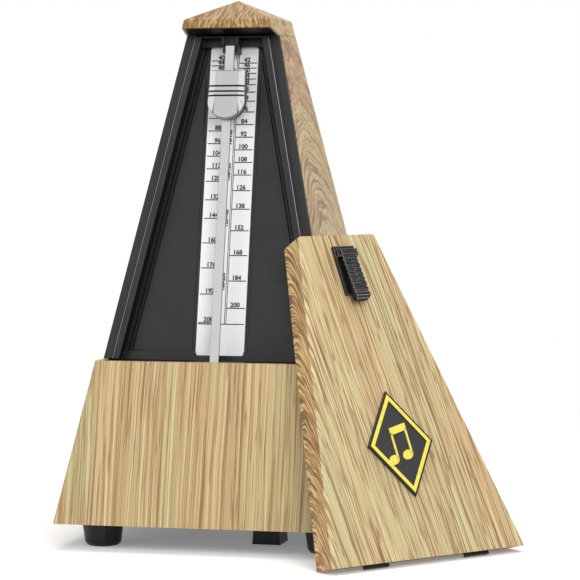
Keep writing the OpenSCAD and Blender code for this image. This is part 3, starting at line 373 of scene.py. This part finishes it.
def body_places(m):
    """The three coordinates, and a mask that is 0 on the front and back and 1 on the sides."""
    x, y, z = (m.along(axis) for axis in ((1, 0, 0), (0, 1, 0), (0, 0, 1)))
    sideways = m.math("SUBTRACT", m.math("ABSOLUTE", x), m.math("ABSOLUTE", y))
    return x, y, z, m.rise(sideways, -0.1, 0.1)


def housing_wood():
    """Straight grain on the front and back, arches on the two sides."""
    m = Material("housing_wood", coat=WOOD_COAT)
    x, y, z, on_side = body_places(m)
    face_grain = straight_grain(m, x, z, 1, broad=0.55, fine=1.05)
    return finish_wood(m, face_grain, arched_grain(m, y, z, 11), on_side)


def cap_wood():
    """Blotches on the front and back; the arches of the housing's sides go on up to the top."""
    m = Material("cap_wood", coat=WOOD_COAT)
    x, y, z, on_side = body_places(m)
    return finish_wood(m, mottled_grain(m, x, z, 21), arched_grain(m, y, z, 11), on_side)


COVER_SLANT = 0.06
COVER_TONES = (srgb(208, 185, 136), srgb(206, 194, 144))


def cover_wood():
    """Straight grain on the cover's face and inside, wavy lines on its edges."""
    m = Material("cover_wood", coat=WOOD_COAT)
    x, v, out = (m.along(axis) for axis in (cover.right, cover.up, cover.out))
    face_out = cover.origin.dot(cover.out) / MM
    facing = m.math("ABSOLUTE", m.vector("DOT_PRODUCT", m.normal, tuple(cover.out)))
    on_edge = m.rise(facing, 0.7, 0.5)
    edge_grain = wavy_grain(m, m.math("SUBTRACT", out, face_out), v, 51)
    face_grain = straight_grain(m, x, v, 41, slant=COVER_SLANT, broad=0.3, fine=1.15, shortness=1.8,
                                tones=COVER_TONES)
    return finish_wood(m, face_grain, edge_grain, on_edge)


# ---- plastic, rubber and metal ----


# How strongly the plastics reflect
PLASTIC_SPECULAR = 0.35


def moulded_plastic(name, shade, roughness=0.36, face=None):
    """Satin black plastic with a fine texture, with painted shade in its corners and, where face is given, on the
    sides turned away from it.
    """
    m = Material(name, roughness)
    m.shader.inputs["Specular IOR Level"].default_value = PLASTIC_SPECULAR
    grain = m.grain(0.35, 3, detail=3)
    wear = m.grain(14, 5)
    worn = shade + 6
    open_colour = m.mix(m.rise(wear, 0.35, 0.7), srgb(shade, shade, shade + 1), srgb(worn, worn, worn + 1))
    if face:
        # Painted shade: sides turned away from face are near black
        facing = m.vector("DOT_PRODUCT", m.normal, tuple(face))
        open_colour = m.mix(m.rise(facing, 0.4, 0.9), srgb(3, 3, 3), open_colour)
    # Painted shade in the corners, where the piece itself lies near
    m.colour(m.mix(m.rise(m.openness(6), 0.55, 0.92), srgb(4, 4, 5), open_colour))
    m.roughness(grain, roughness - 0.05, roughness + 0.07)
    m.bump(grain, 0.008)
    return m.data


def badge_plastic():
    """A charcoal field inside a jet black rim."""
    m = Material("badge_black", 0.4)
    m.shader.inputs["Specular IOR Level"].default_value = PLASTIC_SPECULAR
    height = m.math("SUBTRACT", m.along(cover.out), cover.origin.dot(cover.out) / MM)
    speck = m.grain(0.5, 14, detail=3)
    field = m.mix(speck, srgb(38, 38, 40), srgb(52, 52, 54))
    m.colour(m.mix(m.rise(height, FIELD_OUT, BADGE_THICK), field, srgb(6, 6, 7)))
    m.roughness(speck, 0.36, 0.5)
    m.bump(speck, 0.006)
    return m.data


# The painted highlight line is kept to what stands higher than this, measured from the front face
RIDGE_LOW = -9.6


def frame_plastic(name, edge):
    """The front frame: charcoal on its faces, with painted shade that makes the walls of its recess and its
    corners black.

    Its edges are dark too, but for a painted highlight: the fine light line on the outer edge of the two side
    ridges.
    """
    m = Material(name, 0.3 if edge else 0.36)
    m.shader.inputs["Specular IOR Level"].default_value = PLASTIC_SPECULAR
    grain = m.grain(0.35, 3, detail=3)
    wear = m.grain(14, 5)
    face = m.mix(m.rise(wear, 0.35, 0.7), srgb(28, 28, 29), srgb(34, 34, 35))
    if edge:
        # Painted highlight: a light line on the outward edges of the side ridges, where they stand higher than
        # RIDGE_LOW
        rightwards = m.vector("DOT_PRODUCT", m.normal, (1, 0, 0))
        outward = m.math("MULTIPLY", rightwards, m.math("SIGN", m.along((1, 0, 0))))
        height = m.math("SUBTRACT", m.along(front.out), front.origin.dot(front.out) / MM)
        high = m.rise(height, RIDGE_LOW, RIDGE_LOW + 0.3)
        ridge_highlight = m.math("MULTIPLY", m.rise(outward, 0.05, 0.2), high)
        face = m.mix(ridge_highlight, srgb(26, 26, 27), srgb(150, 150, 152))
    else:
        # Painted shade: faces turned away from the front, the walls of the recess, are near black
        facing = m.vector("DOT_PRODUCT", m.normal, tuple(front.out))
        face = m.mix(m.rise(facing, 0.4, 0.9), srgb(4, 4, 4), face)
    # Painted shade in the corners, where the piece itself lies near
    m.colour(m.mix(m.rise(m.openness(6), 0.45, 0.90), srgb(4, 4, 5), face))
    m.roughness(grain, 0.31, 0.43)
    m.bump(grain, 0.008)
    return m.data


def rubbed_edge(name, deep, light):
    """Rounded edges of a moulding, with a painted highlight where they stand out and painted shade in the corners.
    """
    m = Material(name, 0.3)
    # Painted highlight where the edge stands out, painted shade where it lies in a corner
    standing_out = m.rise(m.openness(1.2), 0.6, 0.95)
    m.colour(m.mix(standing_out, srgb(deep, deep, deep), srgb(light, light, light + 2)))
    m.roughness(m.grain(1.5, 6), 0.22, 0.36)
    return m.data


# The three grooves across the sliding weight, drawn as bands of painted shade: half their width, and their places
# below its top
GROOVE_HALF = 0.35
GROOVES_BELOW_TOP = (6.3, 8.4, 10.1)
GROOVE_SOFT = 0.1
# Painted shade beside a polished face: the colours of slanted facets, of sides and of grooves
FACET_SHADE = srgb(86, 86, 87)
SIDE_SHADE = srgb(76, 76, 78)
GROOVE_SHADE = srgb(70, 70, 72)


def brushed_metal(name, dark, light, roughness, direction, face=None, grooves=()):
    """Metal with fine lines along a direction, with painted shade off its polished face, in its grooves and in its
    corners.

    Each groove is a height along direction, in millimetres.
    """
    m = Material(name, roughness, metallic=1.0)
    other = Vector(direction).orthogonal().normalized()
    third = Vector(direction).normalized().cross(other)
    place = m.join(m.along(other), m.along(third), m.math("MULTIPLY", m.along(direction), 0.05))
    lines = m.noise(place, (5.0, 5.0), 2, detail=3, roughness=0.7)
    cloud = m.grain(9, 7)
    colour = m.mix(m.blend(0.4, lines, cloud), dark, light)
    if face:
        # Painted shade on slanted facets and on the sides
        facing = m.vector("DOT_PRODUCT", m.normal, tuple(face))
        colour = m.mix(m.rise(facing, 0.985, 0.965), colour, FACET_SHADE)
        colour = m.mix(m.rise(facing, 0.9, 0.6), colour, SIDE_SHADE)
    for groove in grooves:
        # Painted shade inside each groove
        off = m.math("ABSOLUTE", m.math("SUBTRACT", m.along(direction), groove))
        inside = m.rise(off, GROOVE_HALF + GROOVE_SOFT, GROOVE_HALF - GROOVE_SOFT)
        colour = m.mix(inside, colour, GROOVE_SHADE)
    # Painted shade in the corners, where the piece itself lies near
    m.colour(m.mix(m.rise(m.openness(0.8), 0.55, 0.9), srgb(40, 40, 42), colour))
    m.roughness(lines, roughness - 0.07, roughness + 0.09)
    m.bump(lines, 0.005)
    return m.data


def bob_grooves():
    """The heights along the slope of the three grooves across the sliding weight."""
    heights = [vertex.co.dot(slope_up) for vertex in nodes["sliding_weight"].data.vertices]
    return [max(heights) / MM - below for below in GROOVES_BELOW_TOP]


def cast_metal():
    """Rough grey casting."""
    m = Material("cast_metal", 0.6, 0.8)
    pits = m.grain(0.8, 4, detail=4, roughness=0.6)
    m.colour(m.mix(pits, srgb(88, 88, 92), srgb(128, 128, 132)))
    m.roughness(pits, 0.45, 0.7)
    m.bump(pits, 0.08)
    return m.data


def scale_face():
    """Silver-white lacquered sheet with an almost invisible brushing."""
    m = Material("scale_face", 0.40)
    lines = m.noise(m.point, (4.0, 0.3, 0.06), 8, detail=3)
    cloud = m.grain(20, 9)
    m.colour(m.mix(m.blend(0.5, lines, cloud), srgb(238, 238, 239), srgb(248, 248, 248)))
    m.roughness(lines, 0.34, 0.46)
    m.bump(lines, 0.003)
    return m.data


def printed_ink():
    """Near black print."""
    m = Material("printed_ink", 0.5)
    speck = m.grain(0.3, 12)
    m.colour(m.mix(speck, srgb(14, 14, 15), srgb(34, 34, 36)))
    return m.data


def gold_paint():
    """Bright yellow-gold paint."""
    m = Material("gold_paint", 0.35, 0.25)
    cloud = m.grain(1.5, 13, detail=3)
    m.colour(m.mix(cloud, srgb(236, 214, 70), srgb(252, 238, 110)))
    m.roughness(cloud, 0.28, 0.45)
    m.bump(cloud, 0.02)
    return m.data


materials = {
    "housing_wood": housing_wood(),
    "cap_wood": cap_wood(),
    "cover_wood": cover_wood(),
    "black_plastic": moulded_plastic("black_plastic", 32),
    "frame_plastic": frame_plastic("frame_plastic", edge=False),
    "frame_edge": frame_plastic("frame_edge", edge=True),
    "dark_plastic": moulded_plastic("dark_plastic", 12, 0.4),
    "latch_plastic": moulded_plastic("latch_plastic", 22, 0.3, cover.out),
    "rubber": moulded_plastic("rubber", 6, 0.42),
    "badge_black": badge_plastic(),
    "latch_edge": rubbed_edge("latch_edge", 2, 120),
    "badge_edge": rubbed_edge("badge_edge", 6, 14),
    "rubber_edge": rubbed_edge("rubber_edge", 8, 40),
    "steel": brushed_metal("steel", srgb(150, 150, 154), srgb(200, 200, 204), 0.28, (1, 0, 0)),
    "rod_steel": brushed_metal("rod_steel", srgb(170, 170, 171), srgb(200, 200, 201), 0.34,
                               slope_up, front.out),
    "bob_steel": brushed_metal("bob_steel", srgb(164, 164, 165), srgb(192, 192, 193), 0.3,
                               slope_up, front.out, bob_grooves()),
    "brass": brushed_metal("brass", srgb(186, 150, 80), srgb(222, 190, 112), 0.32, (0, 1, 0)),
    "bell_brass": brushed_metal("bell_brass", srgb(200, 164, 84), srgb(232, 200, 118), 0.18,
                                (0, 1, 0)),
    "cast_metal": cast_metal(),
    "scale_metal": scale_face(),
    "ink": printed_ink(),
    "gold": gold_paint(),
}


# ---- finish of the CAD pieces ----

FEET = ("foot_front_left", "foot_front_right", "foot_rear_left", "foot_rear_right")
OWN_MATERIAL = {
    "casing": "housing_wood", "cap": "cap_wood", "cover_shell": "cover_wood",
    "sliding_weight": "bob_steel", "latch_plate": "latch_plastic", "latch_lever": "latch_plastic",
    "front_frame": "frame_plastic", "rod_clip": "dark_plastic",
}
# Widths of the rounded edges, in millimetres
EDGE_WIDTH = {
    "casing": 0.35, "cap": 0.35, "cover_shell": 0.4, "front_frame": 0.25, "rod_clip": 0.15,
    "scale_plate": 0.08, "middle_foot": 0.35, "bottom_plate": 0.3, "winding_key": 0.35,
    "sliding_weight": 0.3, "pendulum_rod": 0.12, "latch_plate": 0.12, "latch_lever": 0.18,
    "cover_hooks": 0.3, "badge": 0.18, **dict.fromkeys(FEET, 0.4),
}
EDGE_MATERIAL = {
    "front_frame": "frame_edge", "rod_clip": "rubber_edge", "latch_plate": "latch_edge",
    "latch_lever": "latch_edge", "badge": "badge_edge", "middle_foot": "rubber_edge",
    **dict.fromkeys(FEET, "rubber_edge"),
}
# Pieces whose edges are rounded in full, also where two of them lie close together
UNCLAMPED = ("front_frame", "latch_plate", "latch_lever", "rod_clip")
SMOOTH_ANGLE = math.radians(32)
WELD_REACH = 1e-6


def soften(piece, width):
    """Rounds the edges of a CAD piece, so that they catch the light."""
    weld = piece.modifiers.new("weld", "WELD")
    weld.merge_threshold = WELD_REACH
    bevel = piece.modifiers.new("edges", "BEVEL")
    bevel.width = width * MM
    bevel.segments = 3
    bevel.limit_method = "ANGLE"
    bevel.angle_limit = SMOOTH_ANGLE
    bevel.use_clamp_overlap = piece.name not in UNCLAMPED
    bevel.harden_normals = True
    return bevel


slots = {part["node"]: part["material_slot"] for part in frame["record"]["subparts"]}
for name, piece in nodes.items():
    piece.data.materials.clear()
    piece.data.materials.append(materials[OWN_MATERIAL.get(name, slots[name])])
    if name in EDGE_WIDTH:
        bevel = soften(piece, EDGE_WIDTH[name])
        if name in EDGE_MATERIAL:
            piece.data.materials.append(materials[EDGE_MATERIAL[name]])
            bevel.material = 1


# ---- pieces drawn here ----


def new_piece(name, shape, material, body):
    """Turns a finished bmesh into a piece that rides on a body."""
    mesh = bpy.data.meshes.new(name)
    bmesh.ops.recalc_face_normals(shape, faces=shape.faces)
    shape.to_mesh(mesh)
    shape.free()
    mesh.materials.append(materials[material])
    piece = bpy.data.objects.new(name, mesh)
    bpy.context.scene.collection.objects.link(piece)
    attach(piece, body)


def add_plate(shape, outline, thick, place):
    """Adds a flat plate with the given outline, standing on the face at place."""
    base = [shape.verts.new(place @ Vector((x, y, 0))) for x, y in outline]
    top = [shape.verts.new(place @ Vector((x, y, thick))) for x, y in outline]
    shape.faces.new(base)
    shape.faces.new(top)
    for i in range(len(outline)):
        j = (i + 1) % len(outline)
        shape.faces.new((base[i], base[j], top[j], top[i]))


def add_ring(shape, outer, inner, thick, place):
    """Adds a flat frame between two outlines with as many points."""
    rings = [[shape.verts.new(place @ Vector((x, y, z))) for x, y in outline]
             for outline, z in ((outer, 0), (outer, thick), (inner, thick), (inner, 0))]
    for ring, other in zip(rings, rings[1:] + rings[:1]):
        for i in range(len(outer)):
            j = (i + 1) % len(outer)
            shape.faces.new((ring[i], ring[j], other[j], other[i]))


def rectangle(x0, y0, x1, y1):
    return [(x0, y0), (x1, y0), (x1, y1), (x0, y1)]


def add_text(shape, words, size, thick, place):
    """Adds raised figures, centred on place."""
    curve = bpy.data.curves.new("figures", "FONT")
    curve.body = words
    curve.size = size
    curve.extrude = thick / 2
    curve.offset = FIGURE_BOLD
    curve.resolution_u = 3
    curve.align_x = "CENTER"
    source = bpy.data.objects.new("figures", curve)
    mesh = source.to_mesh()
    mesh.transform(place @ Matrix.Translation((0, 0, thick / 2)))
    shape.from_mesh(mesh)
    source.to_mesh_clear()
    bpy.data.objects.remove(source)
    bpy.data.curves.remove(curve)


# ---- tempo scale ----

SCALE_OUT = max((vertex.co - front.origin).dot(front.out)
                for vertex in nodes["scale_plate"].data.vertices) / MM
LEFT_TEMPI = (*range(40, 60, 4), *range(60, 72, 6), *range(72, 120, 8), *range(120, 144, 12),
              *range(144, 208, 16), 208)
RIGHT_TEMPI = (42, 46, 50, 54, 58, 63, 69, *range(76, 116, 8), 116, 126, 138, *range(152, 216, 16))
TEMPO_RANGES = ("40-60", "60-66", "66-76", "76-108", "108-120", "120-168", "168-200")
# Thickness of the print, and width of its lines
INK = 0.03
LINE = 0.4
# Places of the two upright lines on each side of the middle, and of the outer end of the marks
MIDDLE_IN = 1.3
COLUMN_IN = 1.9
COLUMN_OUT = 9.1
# How far the upright lines go on past the lowest and the highest mark
FOOT_PAST = 0.5
HEAD_PAST = 3
# The figures: their place from the middle, their height above their line, and their size
FIGURE_X = 5.2
FIGURE_RISE = 0.45
FIGURE_SIZE = 2.5
FIGURE_BOLD = 0.1
# The ranges in the middle column: their place, their size and the least length they are centred in
RANGE_X = 0.6
RANGE_SIZE = 2.1
RANGE_ROOM = 7


def mark_height(beats):
    """Where the weight's top must be for so many beats a minute.

    It is the law of a pendulum with a lower weight. The moment and the inertia are those of the rest
    of the pendulum over the sliding weight's mass. All three values were fitted to the printed marks.
    """
    mass_moment, inertia, gravity = 134.3, 9431.0, 10246.0
    rate = (math.pi * beats / 60) ** 2
    inside = gravity ** 2 - 4 * rate * (rate * inertia - gravity * mass_moment)
    return PIVOT_V + (math.sqrt(inside) - gravity) / (2 * rate)


lines = bmesh.new()
figures = bmesh.new()
for side, tempi in ((-1, LEFT_TEMPI), (1, RIGHT_TEMPI)):
    for beats in tempi:
        v = mark_height(beats)
        x0, x1 = sorted((side * COLUMN_IN, side * COLUMN_OUT))
        add_plate(lines, rectangle(x0, -LINE / 2, x1, LINE / 2), INK, front.matrix(0, v, SCALE_OUT))
        place = front.matrix(side * FIGURE_X, v + FIGURE_RISE, SCALE_OUT)
        add_text(figures, str(beats), FIGURE_SIZE, INK, place)
foot_v, head_v = mark_height(208) - FOOT_PAST, mark_height(40) + HEAD_PAST
foot_line = rectangle(-COLUMN_OUT, -LINE / 2, COLUMN_OUT, LINE / 2)
add_plate(lines, foot_line, INK, front.matrix(0, foot_v, SCALE_OUT))
for x in (MIDDLE_IN, COLUMN_IN):
    for side in (-1, 1):
        place = front.matrix(side * x, 0, SCALE_OUT)
        add_plate(lines, rectangle(-LINE / 3, foot_v, LINE / 3, head_v), INK, place)
quarter = Matrix.Rotation(math.pi / 2, 4, "Z")
for words in TEMPO_RANGES:
    first, last = (mark_height(int(beats)) for beats in words.split("-"))
    middle = max(first + last, 2 * last + RANGE_ROOM) / 2
    add_text(figures, words, RANGE_SIZE, INK, front.matrix(RANGE_X, middle, SCALE_OUT) @ quarter)
new_piece("scale_lines", lines, "ink", "housing")
new_piece("scale_figures", figures, "ink", "housing")


# ---- badge ----

BADGE_HALF = (15.1, 21.0)
# The gold border: how far in from the badge's outline it starts and ends, and its thickness
BORDER_FROM, BORDER_TO = 0.8, 2.3
BORDER_THICK = 0.05


def diamond(inset):
    """The badge's outline, moved in by inset."""
    half_w, half_h = BADGE_HALF
    share = 1 - inset * math.hypot(half_w, half_h) / (half_w * half_h)
    return [(half_w * share, 0), (0, half_h * share), (-half_w * share, 0), (0, -half_h * share)]


def oval(cx, cy, width, height, tilt, count=28):
    """An ellipse that leans by tilt degrees."""
    turn = math.radians(tilt)
    points = []
    for i in range(count):
        angle = 2 * math.pi * i / count
        x, y = width / 2 * math.cos(angle), height / 2 * math.sin(angle)
        points.append((cx + x * math.cos(turn) - y * math.sin(turn),
                       cy + x * math.sin(turn) + y * math.cos(turn)))
    return points


border = bmesh.new()
border_place = cover.matrix(0, BADGE_V, BADGE_THICK)
add_ring(border, diamond(BORDER_FROM), diamond(BORDER_TO), BORDER_THICK, border_place)
new_piece("badge_border", border, "gold", "cover")

# A plain pair of joined notes: each has its stem's place and its rise above the first
NOTE_THICK = 0.3
NOTES = ((-3.4, 0.0), (3.6, 1.6))
HEAD_V = -6.2
STEM_TOP = 4.2
BEAM = [(-3.5, 3.4), (4.4, 5.2), (4.4, 8.0), (-3.5, 6.2)]
notes = bmesh.new()
note_place = cover.matrix(0, BADGE_V, FIELD_OUT)
for x, higher in NOTES:
    add_plate(notes, oval(x - 1.7, higher + HEAD_V, 5.0, 3.6, 22), NOTE_THICK, note_place)
    stem = rectangle(x - 0.1, higher + HEAD_V, x + 0.8, higher + STEM_TOP)
    add_plate(notes, stem, NOTE_THICK, note_place)
add_plate(notes, BEAM, NOTE_THICK, note_place)
new_piece("badge_notes", notes, "gold", "cover")


# ---- floor, light and camera ----


def see_as_white(tree, shadowed, white):
    """Shows white to the camera and in reflections, and the real surface to all other light."""
    rays = tree.nodes.new("ShaderNodeLightPath")
    seen = tree.nodes.new("ShaderNodeMath")
    seen.operation = "MAXIMUM"
    tree.links.new(rays.outputs["Is Camera Ray"], seen.inputs[0])
    tree.links.new(rays.outputs["Is Glossy Ray"], seen.inputs[1])
    mix = tree.nodes.new("ShaderNodeMixShader")
    tree.links.new(seen.outputs[0], mix.inputs[0])
    tree.links.new(shadowed, mix.inputs[1])
    tree.links.new(white, mix.inputs[2])
    return mix.outputs[0]


WHITE = (1, 1, 1, 1)
# Light that the floor gives off itself, which keeps the shadows on it pale
FLOOR_GLOW = 0.20
# Distances in metres from the middle between which the floor goes over into plain white
NEAR, FAR = 0.22, 0.5


def floor_material():
    """Pale floor: it keeps the shadows near the object and goes over into plain white further out."""
    material = bpy.data.materials.new("floor_white")
    material.use_nodes = True
    tree = material.node_tree
    tree.nodes.clear()
    surface = tree.nodes.new("ShaderNodeBsdfDiffuse")
    seen = tree.nodes.new("ShaderNodeBsdfDiffuse")
    seen.inputs["Color"].default_value = WHITE
    glow = tree.nodes.new("ShaderNodeEmission")
    glow.inputs["Strength"].default_value = FLOOR_GLOW
    both = tree.nodes.new("ShaderNodeAddShader")
    tree.links.new(seen.outputs[0], both.inputs[0])
    tree.links.new(glow.outputs[0], both.inputs[1])
    place = tree.nodes.new("ShaderNodeTexCoord")
    distance = tree.nodes.new("ShaderNodeVectorMath")
    distance.operation = "LENGTH"
    tree.links.new(place.outputs["Object"], distance.inputs[0])
    away = tree.nodes.new("ShaderNodeMapRange")
    away.interpolation_type = "SMOOTHSTEP"
    away.inputs["From Min"].default_value = NEAR
    away.inputs["From Max"].default_value = FAR
    tree.links.new(distance.outputs["Value"], away.inputs["Value"])
    plain = tree.nodes.new("ShaderNodeEmission")
    white = tree.nodes.new("ShaderNodeMixShader")
    tree.links.new(away.outputs["Result"], white.inputs[0])
    tree.links.new(both.outputs[0], white.inputs[1])
    tree.links.new(plain.outputs[0], white.inputs[2])
    output = tree.nodes.new("ShaderNodeOutputMaterial")
    tree.links.new(see_as_white(tree, surface.outputs[0], white.outputs[0]), output.inputs["Surface"])
    return material


FLOOR_SIZE = 6.0
# The floor lies this far under the lowest point, so that the two don't coincide
FLOOR_GAP = 0.0001
floor_shape = bmesh.new()
bmesh.ops.create_grid(floor_shape, x_segments=1, y_segments=1, size=FLOOR_SIZE)
floor_mesh = bpy.data.meshes.new("floor")
floor_shape.to_mesh(floor_mesh)
floor_shape.free()
floor_mesh.materials.append(floor_material())
floor = bpy.data.objects.new("floor", floor_mesh)
floor.location.z = cad_box[0][2] - FLOOR_GAP
bpy.context.scene.collection.objects.link(floor)

SKY = 0.42
world = bpy.data.worlds.new("studio")
bpy.context.scene.world = world
world.use_nodes = True
sky = world.node_tree
sky.nodes.clear()
dim, bright = (sky.nodes.new("ShaderNodeBackground") for _ in range(2))
dim.inputs["Strength"].default_value = SKY
bright.inputs["Color"].default_value = WHITE
sky_output = sky.nodes.new("ShaderNodeOutputWorld")
sky.links.new(see_as_white(sky, dim.outputs[0], bright.outputs[0]), sky_output.inputs["Surface"])


def add_lamp(name, place, target, size, power):
    """A square lamp at place, turned to target."""
    data = bpy.data.lights.new(name, "AREA")
    data.size = size
    data.energy = power
    lamp = bpy.data.objects.new(name, data)
    lamp.location = place
    lamp.rotation_euler = (Vector(target) - Vector(place)).to_track_quat("-Z", "Y").to_euler()
    bpy.context.scene.collection.objects.link(lamp)


LAMP_TARGET = (0.0, 0.0, 0.1)
add_lamp("key", (0.7, -1.15, 0.9), LAMP_TARGET, 0.9, 12)
add_lamp("fill", (-1.1, -1.0, 0.6), LAMP_TARGET, 1.0, 6)
add_lamp("top", (0.1, 0.1, 1.5), LAMP_TARGET, 1.2, 10)

# Lens, place, direction and roll come from fitting the object's edges to the photograph
CAMERA_LENS = 162.737
camera_data = bpy.data.cameras.new("camera")
camera_data.lens = CAMERA_LENS
camera_data.sensor_width = 36
camera_data.clip_start = 0.01
camera = bpy.data.objects.new("camera", camera_data)
CAMERA_PLACE = Vector((0.269043, -0.998107, 0.159167))
CAMERA_LOOK = Vector((-0.241188, 0.968575, -0.060753))
CAMERA_ROLL = math.radians(-0.222)
look = CAMERA_LOOK.to_track_quat("-Z", "Y").to_matrix().to_4x4()
camera.matrix_world = Matrix.Translation(CAMERA_PLACE) @ look @ Matrix.Rotation(CAMERA_ROLL, 4, "Z")
bpy.context.scene.collection.objects.link(camera)
bpy.context.scene.camera = camera
bpy.context.scene.view_settings.view_transform = "Standard"
